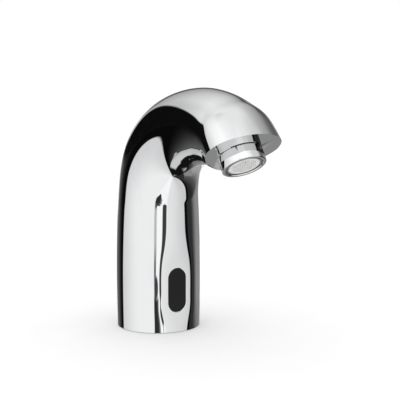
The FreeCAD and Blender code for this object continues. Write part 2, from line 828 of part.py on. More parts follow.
def water_tube():
    """Riser from the elbow's socket, over the arch and into the outlet nipple."""
    x = size("$tube_x")
    y = size("$valve_y")
    bend = size("$tube_bend")
    depth = size("$face_wall")
    points = [
        Vector(x, y, size("$elbow_socket_low") + 0.1),
        Vector(x, y, size("$tube_rise") + 6),
        Vector(x * 0.55, y - size("$tube_shoulder_forward"), size("$mouth_height + $tube_shoulder_height")),
        Vector(0, size(OUTLET_Y + " + $tube_crown_back"), size("$mouth_height + $tube_crown_height")),
        outlet_point(depth + size("$tube_end_run")),
        outlet_point(depth + 1.1),
    ]
    path = rounded_path(points, [bend * 1.4, bend * 1.4, bend * 1.4, bend * 0.75])
    thing = doc.addObject("Part::Feature", "tube_form")
    radius = size("$tube_radius")
    bore_radius = size("$tube_radius - $tube_wall")
    thing.Shape = pipe_along(path, radius).cut(pipe_along(path, bore_radius))
    expected = path.Length * math.pi * (radius ** 2 - bore_radius ** 2)
    print("water tube volume %.1f, section times length %.1f" % (thing.Shape.Volume, expected))
    node(thing, "water_tube")


def tube_o_rings():
    lower = ring("elbow_o_ring", "$tube_x", "$valve_y", ELBOW_SEAL_HEIGHT, "$tube_radius + $seal_section",
                 "$seal_section * 0.97")
    upper = doc.addObject("Part::Torus", "nipple_o_ring")
    upper.Placement = Placement(Vector(), Rotation(X_AXIS, 1))
    depth = "($face_wall + $socket_length / 2 + 0.5)"
    bind(upper, {"Radius1": "$tube_radius + $seal_section", "Radius2": "$seal_section * 0.97",
                 "Placement.Rotation.Angle": "180 - $face_angle",
                 "Placement.Base.y": "%s + %s * %s" % (OUTLET_Y, depth, FACE_SIN),
                 "Placement.Base.z": "%s + %s * %s" % (OUTLET_Z, depth, FACE_COS)})
    node(together("o_ring_pair", lower, upper), "tube_o_rings")


# ---------------------------------------------------------------- foot

def base_plate():
    body = start_body("base_plate_body")
    outline = start_sketch(body, "base_outline", "XY_Plane")
    add_circle(outline, "0", "0", BASE_RADIUS)
    pad(body, "base_disc", outline, "$base_thickness")
    through = start_sketch(body, "base_holes", "XY_Plane", "$base_thickness")
    add_circle(through, "$valve_x", "$valve_y", "$inlet_radius + $part_fit", "inlet")
    add_circle(through, "$stud_x", "$stud_y", "$stud_hole_radius", "stud")
    add_circle(through, "$cable_x", "$cable_y", "$cable_hole_radius", "cable")
    for side in LUG_SIDES:
        x, y = lug_place(side)
        add_circle(through, x, y, "$screw_radius + $screw_fit", side)
    pocket(body, "base_through", through, "$base_thickness + 1")
    heads = start_sketch(body, "base_counterbores", "XY_Plane", "$screw_head_height + 0.4")
    for side in LUG_SIDES:
        x, y = lug_place(side)
        add_circle(heads, x, y, "$screw_head_radius - 0.6", side)
    pocket(body, "base_heads", heads, "$screw_head_height + 1")
    node(body, "base_plate")


def base_screws():
    """Three socket screws from below, heads sunk in the plate, ends in the casting's lugs."""
    screws = []
    for side in LUG_SIDES:
        x, y = lug_place(side)
        head = rod("base_screw_head_" + side, x, y, "0.3", "$screw_head_radius - 0.7", "$screw_head_height")
        shank = rod("base_screw_shank_" + side, x, y, "0.3", "$screw_radius", "$screw_length - 0.3")
        drive = hexagon("base_screw_drive_" + side, x, y, "0.2", "2 * $hex_socket",
                        "$screw_head_height * 0.6")
        screws.append(cut("base_screw_" + side, fuse("base_screw_blank_" + side, head, shank), drive))
    node(together("base_screw_set", *screws), "base_screws")


def base_gasket():
    body = start_body("foot_gasket_body")
    inner = "$gasket_radius - $gasket_section / 2"
    outer = "$gasket_radius + $gasket_section / 2"
    turn(body, "foot_gasket", [(inner, "0"), (outer, "0"), (outer, "$gasket_section - 0.05"),
                               (inner, "$gasket_section - 0.05")])
    node(body, "base_gasket")


def cable_grommet():
    """Rubber bush that the power lead would pass through."""
    body = start_body("grommet_body", "$cable_x", "$cable_y")
    waist = "$cable_hole_radius - 0.05"
    lip = "$cable_hole_radius + $grommet_lip"
    turn(body, "grommet", [
        ("$cable_bore_radius", "0.4"),
        (waist, "0.4"),
        (waist, "$base_thickness"),
        (lip, "$base_thickness"),
        (lip, "$base_thickness + 0.8"),
        ("$cable_bore_radius + 0.6", "$base_thickness + 1.6"),
        ("$cable_bore_radius", "$base_thickness + 1.6"),
    ])
    node(body, "cable_grommet")


# ---------------------------------------------------------------- inlet

INLET_FLANGE_TOP = "$base_thickness + $inlet_flange"
INLET_TOP = INLET_FLANGE_TOP + " + $inlet_spigot"


def inlet_adapter():
    body = start_body("adapter_body", "$valve_x", "$valve_y")
    thread_end = "$inlet_recess + $inlet_thread_length"
    groove = INLET_FLANGE_TOP + " + 1.6"
    turn(body, "adapter", [
        ("$inlet_thread_radius", "$inlet_recess"),
        ("$inlet_radius", "$inlet_recess"),
        ("$inlet_radius", "$base_thickness"),
        ("$inlet_flange_radius", "$base_thickness"),
        ("$inlet_flange_radius", INLET_FLANGE_TOP),
        ("$inlet_chamber_radius - $part_fit", INLET_FLANGE_TOP),
        ("$inlet_chamber_radius - $part_fit", groove),
        ("$inlet_chamber_radius - 2 * $seal_section", groove),
        ("$inlet_chamber_radius - 2 * $seal_section", groove + " + 2 * $seal_section"),
        ("$inlet_chamber_radius - $part_fit", groove + " + 2 * $seal_section"),
        ("$inlet_chamber_radius - $part_fit", INLET_TOP),
        ("$strainer_radius + 0.05", INLET_TOP),
        ("$strainer_radius + 0.05", INLET_TOP + " - $strainer_wall - 0.05"),
        ("$strainer_cup_radius + 0.5", INLET_TOP + " - $strainer_wall - 0.05"),
        ("$strainer_cup_radius + 0.5", thread_end + " + 0.7"),
        ("$strainer_cup_radius - 0.3", thread_end + " + 0.7"),
        ("$strainer_cup_radius - 0.3", thread_end),
        ("$inlet_thread_radius", thread_end),
    ])
    node(body, "inlet_adapter")
    seal = ring("adapter_o_ring", "$valve_x", "$valve_y", groove + " + $seal_section",
                "$inlet_chamber_radius - $seal_section", "$seal_section * 0.97")
    node(seal, "inlet_o_ring")


def inlet_strainer():
    """Mesh cup that hangs from its rim inside the adapter."""
    body = start_body("strainer_body", "$valve_x", "$valve_y")
    low = INLET_TOP + " - $strainer_depth"
    under_rim = INLET_TOP + " - $strainer_wall"
    turn(body, "strainer", [
        ("0", low),
        ("$strainer_cup_radius - 0.6", low),
        ("$strainer_cup_radius", under_rim),
        ("$strainer_radius", under_rim),
        ("$strainer_radius", INLET_TOP),
        ("$strainer_cup_radius - $strainer_wall", INLET_TOP),
        ("$strainer_cup_radius - 0.6 - $strainer_wall", low + " + $strainer_wall"),
        ("0", low + " + $strainer_wall"),
    ])
    node(body, "inlet_strainer")


# ---------------------------------------------------------------- check valve

CHECK_SEAT_LOW = INLET_TOP + " + 0.2"
CHECK_SEAT_TOP = CHECK_SEAT_LOW + " + $check_seat_thickness"
POPPET_TOP = CHECK_SEAT_TOP + " + 0.02 + $poppet_thickness"
CAGE_LOW = POPPET_TOP + " + 0.02 + $check_spring_length"
CAGE_TOP = CAGE_LOW + " + $cage_thickness"


def check_valve_seat():
    body = start_body("check_seat_body", "$valve_x", "$valve_y")
    outer = "$inlet_chamber_radius - 0.05"
    turn(body, "check_seat", [("$check_seat_bore", CHECK_SEAT_LOW), (outer, CHECK_SEAT_LOW),
                              (outer, CHECK_SEAT_TOP), ("$check_seat_bore + 0.4", CHECK_SEAT_TOP),
                              ("$check_seat_bore", CHECK_SEAT_TOP + " - 0.4")])
    node(body, "check_valve_seat")


def check_valve_poppet():
    body = start_body("poppet_body", "$valve_x", "$valve_y")
    low = CHECK_SEAT_TOP + " + 0.02"
    stem_top = CAGE_TOP + " - $poppet_lift + 0.4"
    turn(body, "poppet", [("0", low + " - 0.6"), ("$check_seat_bore - 1", low + " - 0.6"),
                          ("$check_seat_bore - 0.6", low), ("$poppet_radius", low),
                          ("$poppet_radius", POPPET_TOP), ("$poppet_stem_radius", POPPET_TOP),
                          ("$poppet_stem_radius", stem_top), ("0", stem_top)])
    node(body, "check_valve_poppet")


def check_valve_cage():
    """Spider that guides the poppet's stem and takes the spring's thrust."""
    body = start_body("cage_body", "$valve_x", "$valve_y")
    bore = "$poppet_stem_radius + $guide_clearance"
    outer = "$inlet_chamber_radius - 0.05"
    turn(body, "cage", [(bore, CAGE_LOW), (outer, CAGE_LOW), (outer, CAGE_TOP), (bore, CAGE_TOP)])
    sketch = start_sketch(body, "cage_window_sketch", "XY_Plane", CAGE_TOP)
    add_circle(sketch, "$inlet_chamber_radius * 0.62", "0", "$inlet_chamber_radius * 0.22")
    window = pocket(body, "cage_window", sketch, "$cage_thickness + 0.5")
    repeat_round(body, "cage_windows", window, sketch, 5)
    node(body, "check_valve_cage")


def check_valve_spring():
    body = start_body("check_spring_body", "$valve_x", "$valve_y")
    inner = "$poppet_stem_radius + 1.0"
    turn(body, "check_spring", [(inner, POPPET_TOP), (inner + " + 0.6", POPPET_TOP),
                                (inner + " + 0.6", CAGE_LOW), (inner, CAGE_LOW)])
    node(body, "check_valve_spring")


# ---------------------------------------------------------------- main valve

def valve_body():
    """Turned valve block: inlet chamber below, raised seat and diaphragm chamber above."""
    body = start_body("valve_block_body", "$valve_x", "$valve_y")
    turn(body, "valve_block", [
        ("$inlet_chamber_radius", INLET_FLANGE_TOP),
        ("$valve_radius", INLET_FLANGE_TOP),
        ("$valve_radius", "$valve_top"),
        ("$rim_radius", "$valve_top"),
        ("$rim_radius", "$rim_low"),
        ("$chamber_radius", "$rim_low"),
        ("$chamber_radius", "$valve_web_high"),
        ("$seat_radius", "$valve_web_high"),
        ("$seat_radius - 0.4", "$seat_top"),
        ("$seat_bore", "$seat_top"),
        ("$seat_bore", "$outlet_height - $outlet_passage_radius"),
        ("0", "$outlet_height - $outlet_passage_radius"),
        ("0", "$valve_web_low"),
        ("$inlet_chamber_radius", "$valve_web_low"),
    ])
    feed = start_sketch(body, "feed_sketch", "XY_Plane", "$valve_web_high")
    add_circle(feed, "$feed_circle * cos(45 deg)", "$feed_circle * sin(45 deg)", "$feed_radius")
    feed_hole = pocket(body, "feed_hole", feed, "$valve_web_high - $valve_web_low + 0.5")
    repeat_round(body, "feed_holes", feed_hole, feed, 4)
    passage = start_sketch(body, "passage_sketch", "YZ_Plane")
    add_circle(passage, "0", "$outlet_height", "$outlet_passage_radius - 0.3")
    pocket(body, "outlet_passage", passage, "$valve_radius + 1", forward=True)
    mouth = start_sketch(body, "mouth_sketch", "YZ_Plane", "$valve_radius - $spigot_depth")
    add_circle(mouth, "0", "$outlet_height", "$spigot_radius + 0.05")
    pocket(body, "outlet_socket", mouth, "$spigot_depth + 1", forward=True)
    node(body, "valve_body")


DISC_LOW = "$seat_top + 0.02"
DISC_TOP = DISC_LOW + " + $disc_thickness"


def diaphragm_disc():
    """Rigid centre of the diaphragm: it lifts off the seat and its tail guides it."""
    body = start_body("disc_body", "$valve_x", "$valve_y")
    turn(body, "disc", [
        ("0", "$seat_top - 2.4"),
        ("$seat_bore - 0.5", "$seat_top - 2.4"),
        ("$seat_bore - 0.35", DISC_LOW),
        ("$disc_radius", DISC_LOW),
        ("$disc_radius", DISC_TOP),
        ("0", DISC_TOP)])
    node(body, "diaphragm_disc")


def diaphragm():
    """Rubber membrane between the disc and the clamped rim."""
    body = start_body("membrane_body", "$valve_x", "$valve_y")
    top = "$rim_low + $rim_thickness"
    inner = "$disc_radius + 0.02"
    turn(body, "membrane", [
        (inner, DISC_LOW),
        ("$disc_radius + 1.3", DISC_LOW),
        ("$chamber_radius - 0.9", "$rim_low + 0.1"),
        ("$rim_radius - 0.1", "$rim_low + 0.02"),
        ("$rim_radius - 0.1", top),
        ("$chamber_radius - 1.4", top),
        ("$disc_radius + 0.9", DISC_TOP),
        (inner, DISC_TOP)])
    node(body, "diaphragm")


BONNET_LOW = "$rim_low + $rim_thickness + 0.02"
BONNET_TOP = "$valve_top + $bonnet_flange"


def valve_bonnet():
    body = start_body("bonnet_body", "$valve_x", "$valve_y")
    chamber_top = BONNET_LOW + " + $pilot_chamber_height"
    nozzle_top = BONNET_TOP + " + $pilot_nozzle_height"
    turn(body, "bonnet", [
        ("$pilot_bore", chamber_top),
        ("$pilot_chamber_radius", chamber_top),
        ("$pilot_chamber_radius", BONNET_LOW),
        ("$rim_radius - 0.1", BONNET_LOW),
        ("$rim_radius - 0.1", "$valve_top"),
        ("$bonnet_radius", "$valve_top"),
        ("$bonnet_radius", BONNET_TOP),
        ("$pilot_nozzle_radius", BONNET_TOP),
        ("$pilot_nozzle_radius - 0.4", nozzle_top),
        ("$pilot_bore", nozzle_top)])
    node(body, "valve_bonnet")


# ---------------------------------------------------------------- solenoid

GUIDE_BORE = "$guide_radius - $guide_wall"
GUIDE_TOP = BONNET_TOP + " + $guide_length"
SEAL_LOW = BONNET_TOP + " + $pilot_nozzle_height + 0.02"
PLUNGER_LOW = SEAL_LOW + " + $plunger_seal_height / 2"
PLUNGER_TOP = PLUNGER_LOW + " + $plunger_length"
POLE_LOW = PLUNGER_TOP + " + $plunger_lift + $pole_gap"
YOKE_LOW = BONNET_TOP + " + $guide_flange + 0.02"
BOBBIN_LOW = YOKE_LOW + " + $yoke_thickness + 0.02"
BOBBIN_TOP = BOBBIN_LOW + " + $bobbin_length"
YOKE_TOP = BOBBIN_TOP + " + 0.02 + $yoke_thickness"
MAGNET_TOP = YOKE_TOP + " + 0.02 + $magnet_thickness"


def armature_tube():
    body = start_body("armature_tube_body", "$valve_x", "$valve_y")
    turn(body, "armature_guide", [
        (GUIDE_BORE, BONNET_TOP), ("$guide_flange_radius", BONNET_TOP),
        ("$guide_flange_radius", BONNET_TOP + " + $guide_flange"),
        ("$guide_radius", BONNET_TOP + " + $guide_flange"),
        ("$guide_radius", GUIDE_TOP), (GUIDE_BORE, GUIDE_TOP)])
    node(body, "armature_tube")


def plunger():
    body = start_body("plunger_body", "$valve_x", "$valve_y")
    radius = GUIDE_BORE + " - $plunger_clearance"
    turn(body, "armature", [
        ("0", PLUNGER_LOW + " + $plunger_seal_height / 2 + 0.02"),
        ("$plunger_seal_radius + 0.02", PLUNGER_LOW + " + $plunger_seal_height / 2 + 0.02"),
        ("$plunger_seal_radius + 0.02", PLUNGER_LOW),
        (radius, PLUNGER_LOW),
        (radius, PLUNGER_TOP),
        ("$spring_bore_radius", PLUNGER_TOP),
        ("$spring_bore_radius", PLUNGER_TOP + " - $spring_pocket"),
        ("0", PLUNGER_TOP + " - $spring_pocket")])
    node(body, "plunger")
    seal = start_body("plunger_seal_body", "$valve_x", "$valve_y")
    turn(seal, "plunger_pad", [("0", SEAL_LOW), ("$plunger_seal_radius", SEAL_LOW),
                               ("$plunger_seal_radius", SEAL_LOW + " + $plunger_seal_height"),
                               ("0", SEAL_LOW + " + $plunger_seal_height")])
    node(seal, "plunger_seal")


def plunger_spring():
    body = start_body("plunger_spring_body", "$valve_x", "$valve_y")
    low = PLUNGER_TOP + " - $spring_pocket + 0.02"
    high = POLE_LOW + " - 0.02"
    turn(body, "return_spring", [("$spring_radius - $spring_wire", low), ("$spring_radius", low),
                                 ("$spring_radius", high), ("$spring_radius - $spring_wire", high)])
    node(body, "plunger_spring")


def pole_piece():
    """Fixed core that closes the guide tube, with the stud that holds the coil down."""
    body = start_body("pole_body", "$valve_x", "$valve_y")
    radius = GUIDE_BORE + " - 0.03"
    stud_top = GUIDE_TOP + " + $pole_stud_length"
    turn(body, "pole", [("0", POLE_LOW), (radius, POLE_LOW), (radius, GUIDE_TOP),
                        ("$pole_stud_radius", GUIDE_TOP), ("$pole_stud_radius", stud_top), ("0", stud_top)])
    node(body, "pole_piece")


def coil():
    bobbin = start_body("bobbin_body", "$valve_x", "$valve_y")
    bore = "$guide_radius + 0.1"
    barrel = "$guide_radius + 0.1 + $bobbin_wall"
    turn(bobbin, "bobbin", [
        (bore, BOBBIN_LOW), ("$bobbin_radius", BOBBIN_LOW),
        ("$bobbin_radius", BOBBIN_LOW + " + $bobbin_wall"),
        (barrel, BOBBIN_LOW + " + $bobbin_wall"),
        (barrel, BOBBIN_TOP + " - $bobbin_wall"),
        ("$bobbin_radius", BOBBIN_TOP + " - $bobbin_wall"),
        ("$bobbin_radius", BOBBIN_TOP), (bore, BOBBIN_TOP)])
    node(bobbin, "coil_bobbin")
    winding = start_body("winding_body", "$valve_x", "$valve_y")
    low = BOBBIN_LOW + " + $bobbin_wall + 0.02"
    high = BOBBIN_TOP + " - $bobbin_wall - 0.02"
    turn(winding, "winding", [(barrel + " + 0.02", low), ("$winding_radius", low),
                              ("$winding_radius", high), (barrel + " + 0.02", high)])
    node(winding, "coil_winding")


def yoke():
    """Steel strap bent into a frame round the coil."""
    body = start_body("yoke_body", "$valve_x", "$valve_y")
    sketch = start_sketch(body, "yoke_sketch", "XZ_Plane", "-$yoke_width / 2")
    half = "$yoke_half_span"
    inner = "$yoke_half_span - $yoke_thickness"
    add_outline(sketch, [("-%s" % half, YOKE_LOW), (half, YOKE_LOW), (half, YOKE_TOP),
                         ("-%s" % half, YOKE_TOP)], "out")
    add_outline(sketch, [("-(%s)" % inner, YOKE_LOW + " + $yoke_thickness"),
                         (inner, YOKE_LOW + " + $yoke_thickness"),
                         (inner, YOKE_TOP + " - $yoke_thickness"),
                         ("-(%s)" % inner, YOKE_TOP + " - $yoke_thickness")], "in")
    pad(body, "yoke_strap", sketch, "$yoke_width")
    holes = start_sketch(body, "yoke_hole_sketch", "XY_Plane", YOKE_TOP + " + 0.5")
    add_circle(holes, "0", "0", "$guide_radius + 0.1")
    pocket(body, "yoke_holes", holes, "%s - (%s) + 1" % (YOKE_TOP, YOKE_LOW))
    node(body, "yoke")


def magnet_and_nut():
    body = start_body("magnet_body", "$valve_x", "$valve_y")
    turn(body, "magnet_ring", [("$pole_stud_radius + 0.1", YOKE_TOP + " + 0.02"),
                               ("$magnet_radius", YOKE_TOP + " + 0.02"), ("$magnet_radius", MAGNET_TOP),
                               ("$pole_stud_radius + 0.1", MAGNET_TOP)])
    node(body, "latching_magnet")
    blank = hexagon("coil_nut_blank", "$valve_x", "$valve_y", MAGNET_TOP + " + 0.02", "$nut_flats",
                    "$nut_thickness")
    hole = rod("coil_nut_hole", "$valve_x", "$valve_y", MAGNET_TOP, "$pole_stud_radius + 0.03",
               "$nut_thickness + 1")
    node(cut("coil_nut_form", blank, hole), "coil_nut")


# ---------------------------------------------------------------- outlet elbow

ELBOW_SEAL_HEIGHT = "($elbow_socket_low + $elbow_high) / 2 + 0.8"


def outlet_elbow():
    """Brass block that turns the water from the valve's side up into the tube."""
    body = start_body("elbow_body", "$tube_x", "$valve_y")
    seal_low = ELBOW_SEAL_HEIGHT + " - $seal_section"
    seal_high = ELBOW_SEAL_HEIGHT + " + $seal_section"
    turn(body, "elbow_post", [
        ("0", "$elbow_low"),
        ("$elbow_radius - 0.6", "$elbow_low"),
        ("$elbow_radius", "$elbow_low + 0.6"),
        ("$elbow_radius", "$elbow_high"),
        ("$tube_radius + $tube_fit", "$elbow_high"),
        ("$tube_radius + $tube_fit", seal_high),
        ("$tube_radius + 2 * $seal_section", seal_high),
        ("$tube_radius + 2 * $seal_section", seal_low),
        ("$tube_radius + $tube_fit", seal_low),
        ("$tube_radius + $tube_fit", "$elbow_socket_low"),
        ("$tube_radius - $tube_wall", "$elbow_socket_low"),
        ("$tube_radius - $tube_wall", "$outlet_height - $outlet_passage_radius - 0.3"),
        ("0", "$outlet_height - $outlet_passage_radius - 0.3")])
    face = "$tube_x - $valve_x - $valve_radius - 0.1"
    arm = start_sketch(body, "elbow_arm_sketch", "YZ_Plane", "-(%s)" % face)
    add_circle(arm, "0", "$outlet_height", "$elbow_arm_radius")
    pad(body, "elbow_arm", arm, "%s - $tube_radius - 0.4" % face)
    spigot = start_sketch(body, "elbow_spigot_sketch", "YZ_Plane", "-(%s) - $spigot_depth" % face)
    add_circle(spigot, "0", "$outlet_height", "$spigot_radius")
    pad(body, "elbow_spigot", spigot, "$spigot_depth + 0.5")
    bore = start_sketch(body, "elbow_bore_sketch", "YZ_Plane", "-(%s) - $spigot_depth - 0.5" % face)
    add_circle(bore, "0", "$outlet_height", "$outlet_passage_radius - 0.3")
    pocket(body, "elbow_bore", bore, "%s + $spigot_depth + 0.5" % face, forward=True)
    node(body, "outlet_elbow")


# ---------------------------------------------------------------- sensor

NOSE_FRONT = "$window_front - $window_thickness - 0.05"
FLANGE_FRONT = "$boss_face - $sensor_gasket"
FLANGE_BACK = FLANGE_FRONT + " - $flange_thickness"
TRAY_BACK = FLANGE_BACK + " - $tray_depth"
BOARD_FRONT = FLANGE_BACK + " + $flange_thickness - 4.6"


def sensor_window():
    """Dark lens let into the casting, just behind the flattened pad."""
    body = start_body("window_body")
    sketch = start_sketch(body, "window_sketch", "XZ_Plane", "$window_front - $window_thickness")
    add_stadium(sketch, "$window_height", "$window_half_width - $window_fit",
                "$window_half_height - $window_fit")
    pad(body, "window_plate", sketch, "$window_thickness")
    node(body, "sensor_window")


def sensor_gasket():
    body = start_body("sensor_gasket_body")
    sketch = start_sketch(body, "sensor_gasket_sketch", "XZ_Plane", FLANGE_FRONT)
    half = "$window_half_width + $gasket_band"
    tall = "$window_half_height + $gasket_band"
    add_stadium(sketch, "$window_height", half, tall, "out")
    add_stadium(sketch, "$window_height", "$window_half_width", "$window_half_height", "in")
    pad(body, "sensor_seal", sketch, "$sensor_gasket")
    node(body, "sensor_gasket")


def sensor_housing():
    """Moulded eye carrier: nose in the opening, flange behind the wall, open tray for the board."""
    body = start_body("sensor_housing_body")
    flange = start_sketch(body, "flange_sketch", "XZ_Plane", FLANGE_BACK)
    add_stadium(flange, "$window_height", "$flange_half_width", "$flange_half_height")
    pad(body, "sensor_flange", flange, "$flange_thickness")
    nose = start_sketch(body, "nose_sketch", "XZ_Plane", FLANGE_FRONT + " - 0.2")
    add_stadium(nose, "$window_height", "$window_half_width - $part_fit", "$window_half_height - $part_fit")
    pad(body, "sensor_nose", nose, "%s - (%s) + 0.2" % (NOSE_FRONT, FLANGE_FRONT))
    tray = start_sketch(body, "tray_sketch", "XZ_Plane", TRAY_BACK)
    half, tall = "$tray_half_width", "$tray_half_height"
    add_outline(tray, [("-" + half, "$window_height - " + tall), (half, "$window_height - " + tall),
                       (half, "$window_height + " + tall), ("-" + half, "$window_height + " + tall)])
    pad(body, "sensor_tray", tray, "$tray_depth + 0.2")
    room = start_sketch(body, "room_sketch", "XZ_Plane", TRAY_BACK + " - 0.5")
    half, tall = "($tray_half_width - $tray_wall)", "($tray_half_height - $tray_wall)"
    add_outline(room, [("-" + half, "$window_height - " + tall), (half, "$window_height - " + tall),
                       (half, "$window_height + " + tall), ("-" + half, "$window_height + " + tall)])
    pocket(body, "tray_room", room, "%s - (%s) + 0.6" % (BOARD_FRONT, TRAY_BACK), forward=True)
    eyes = start_sketch(body, "eye_sketch", "XZ_Plane", BOARD_FRONT)
    add_circle(eyes, "0", "$window_height + $eye_spacing", "$eye_rim_radius + $eye_bore_clearance", "up")
    add_circle(eyes, "0", "$window_height - $eye_spacing", "$eye_rim_radius + $eye_bore_clearance", "low")
    pocket(body, "eye_bores", eyes, "$column_radius", forward=True)
    screws = start_sketch(body, "sensor_screw_sketch", "XZ_Plane", FLANGE_BACK + " - 0.5")
    offset = "($window_half_height + $sensor_screw_offset)"
    add_circle(screws, "0", "$window_height + " + offset, "$sensor_screw_radius + $screw_fit", "up")
    add_circle(screws, "0", "$window_height - " + offset, "$sensor_screw_radius + $screw_fit", "low")
    pocket(body, "flange_holes", screws, "$flange_thickness + 1", forward=True)
    node(body, "sensor_housing")


def circuit_board():
    body = start_body("board_body")
    sketch = start_sketch(body, "board_sketch", "XZ_Plane", BOARD_FRONT + " - $board_thickness")
    half = "($tray_half_width - $tray_wall - $board_gap)"
    tall = "($tray_half_height - $tray_wall - $board_gap)"
    add_outline(sketch, [("-" + half, "$window_height - " + tall), (half, "$window_height - " + tall),
                         (half, "$window_height + " + tall), ("-" + half, "$window_height + " + tall)])
    pad(body, "board_plate", sketch, "$board_thickness")
    node(body, "circuit_board")


def infrared_eye(label, sign):
    """Domed diode on the board, looking forward through the window."""
    body = doc.addObject("PartDesign::Body", label + "_body")
    body.Placement = Placement(Vector(), Rotation(X_AXIS, 90))
    bind(body, {"Placement.Base.y": "-(%s)" % BOARD_FRONT,
                "Placement.Base.z": "$window_height %s $eye_spacing" % sign})
    straight = "$eye_length - $eye_radius"
    sketch = start_sketch(body, label + "_profile", "XZ_Plane")
    add_outline(sketch, [
        ("0", "0"), ("$eye_rim_radius", "0"), ("$eye_rim_radius", "$eye_rim_height"),
        ("$eye_radius", "$eye_rim_height"), ("$eye_radius", straight),
        ("$eye_radius * 0.92", straight + " + $eye_radius * 0.38"),
        ("$eye_radius * 0.71", straight + " + $eye_radius * 0.71"),
        ("$eye_radius * 0.38", straight + " + $eye_radius * 0.92"),
        ("0", "$eye_length")])
    feature = body.newObject("PartDesign::Revolution", label + "_lens")
    feature.Profile = sketch
    feature.ReferenceAxis = (sketch, ["V_Axis"])
    feature.Angle = 360
    node(body, label)


def sensor_lid():
    body = start_body("lid_body")
    sketch = start_sketch(body, "lid_sketch", "XZ_Plane", TRAY_BACK + " - $lid_thickness")
    half, tall = "$tray_half_width", "$tray_half_height"
    add_outline(sketch, [("-" + half, "$window_height - " + tall), (half, "$window_height - " + tall),
                         (half, "$window_height + " + tall), ("-" + half, "$window_height + " + tall)])
    pad(body, "lid_plate", sketch, "$lid_thickness")
    inset = start_sketch(body, "lid_rib_sketch", "XZ_Plane", TRAY_BACK + " - 0.1")
    half, tall = "($tray_half_width - $tray_wall - 0.1)", "($tray_half_height - $tray_wall - 0.1)"
    add_outline(inset, [("-" + half, "$window_height - " + tall), (half, "$window_height - " + tall),
                        (half, "$window_height + " + tall), ("-" + half, "$window_height + " + tall)], "out")
    half, tall = "($tray_half_width - 2 * $tray_wall)", "($tray_half_height - 2 * $tray_wall)"
    add_outline(inset, [("-" + half, "$window_height - " + tall), (half, "$window_height - " + tall),
                        (half, "$window_height + " + tall), ("-" + half, "$window_height + " + tall)], "in")
    pad(body, "lid_rib", inset, "%s - $board_thickness - (%s)" % (BOARD_FRONT, TRAY_BACK))
    node(body, "sensor_lid")


def sensor_screws():
    screws = []
    for end, sign in (("upper", "+"), ("lower", "-")):
        height = "$window_height %s ($window_half_height + $sensor_screw_offset)" % sign
        head = rod("sensor_screw_head_" + end, "0", "-(%s) + $sensor_screw_head_height" % FLANGE_BACK, height,
                   "$sensor_screw_head_radius", "$sensor_screw_head_height", -Y_AXIS)
        shank = rod("sensor_screw_shank_" + end, "0", "-(%s) + 0.5" % FLANGE_BACK, height,
                    "$sensor_screw_radius", "$sensor_screw_length + 0.5", -Y_AXIS)
        screws.append(fuse("sensor_screw_" + end, head, shank))
    node(together("sensor_screw_set", *screws), "sensor_screws")


spout_body()
outlet_nipple()
aerator_housing()
aerator_cartridge()
aerator_gasket()
aerator_screen()
water_tube()
tube_o_rings()
base_plate()
base_screws()
base_gasket()
cable_grommet()
inlet_adapter()
inlet_strainer()
check_valve_seat()
check_valve_poppet()
check_valve_cage()
check_valve_spring()
valve_body()
diaphragm_disc()
diaphragm()
valve_bonnet()
armature_tube()
plunger()
plunger_spring()
pole_piece()
coil()
yoke()
magnet_and_nut()
outlet_elbow()
sensor_window()
sensor_gasket()
sensor_housing()
circuit_board()
infrared_eye("ir_emitter", "+")
infrared_eye("ir_receiver", "-")
sensor_lid()
sensor_screws()

doc.recompute()

for thing in doc.Objects:
    if "Invalid" in thing.State or "Error" in thing.State:
        raise RuntimeError("%s did not build: %s" % (thing.Label, thing.State))
os.makedirs("parts", exist_ok=True)
for thing in nodes:
    shape = thing.Shape
    if shape.isNull() or not shape.isValid() or not shape.Solids:
        raise RuntimeError("%s has no valid solid" % thing.Label)
for thing in nodes:
    thing.Shape.exportStep(os.path.join("parts", thing.Label + ".step"))
    print("%-22s %9.1f mm3, solids %d" % (thing.Label, thing.Shape.Volume, len(thing.Shape.Solids)))
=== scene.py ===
import json
import math

import bmesh
import bpy
import numpy as np
from mathutils import Matrix, Vector
from mathutils.bvhtree import BVHTree
from mathutils.interpolate import poly_3d_calc


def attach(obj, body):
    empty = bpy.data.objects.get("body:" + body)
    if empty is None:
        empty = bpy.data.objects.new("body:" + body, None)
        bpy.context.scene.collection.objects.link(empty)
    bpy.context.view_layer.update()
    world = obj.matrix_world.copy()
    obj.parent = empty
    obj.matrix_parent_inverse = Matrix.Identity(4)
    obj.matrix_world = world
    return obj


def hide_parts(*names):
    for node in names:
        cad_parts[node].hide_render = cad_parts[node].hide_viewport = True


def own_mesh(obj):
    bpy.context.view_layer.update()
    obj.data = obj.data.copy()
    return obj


# The sensor tap's looks. Lengths are named in millimetres and used in metres.
MM = 0.001
UPRIGHT = Matrix.Identity(4)
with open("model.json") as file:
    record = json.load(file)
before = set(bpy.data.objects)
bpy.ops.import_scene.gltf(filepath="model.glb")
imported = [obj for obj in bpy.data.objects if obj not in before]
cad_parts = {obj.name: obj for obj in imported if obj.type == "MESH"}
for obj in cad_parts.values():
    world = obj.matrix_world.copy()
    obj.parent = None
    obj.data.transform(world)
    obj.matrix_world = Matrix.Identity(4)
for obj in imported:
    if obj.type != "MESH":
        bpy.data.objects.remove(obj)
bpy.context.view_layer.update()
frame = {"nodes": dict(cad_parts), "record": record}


# ---------------------------------------------------------------- shader sums

# A Mix node's sockets by number: its share and two colours go in, and a colour comes out.
MIX_SHARE, MIX_LOW, MIX_HIGH = 0, 6, 7
MIX_COLOUR = 2


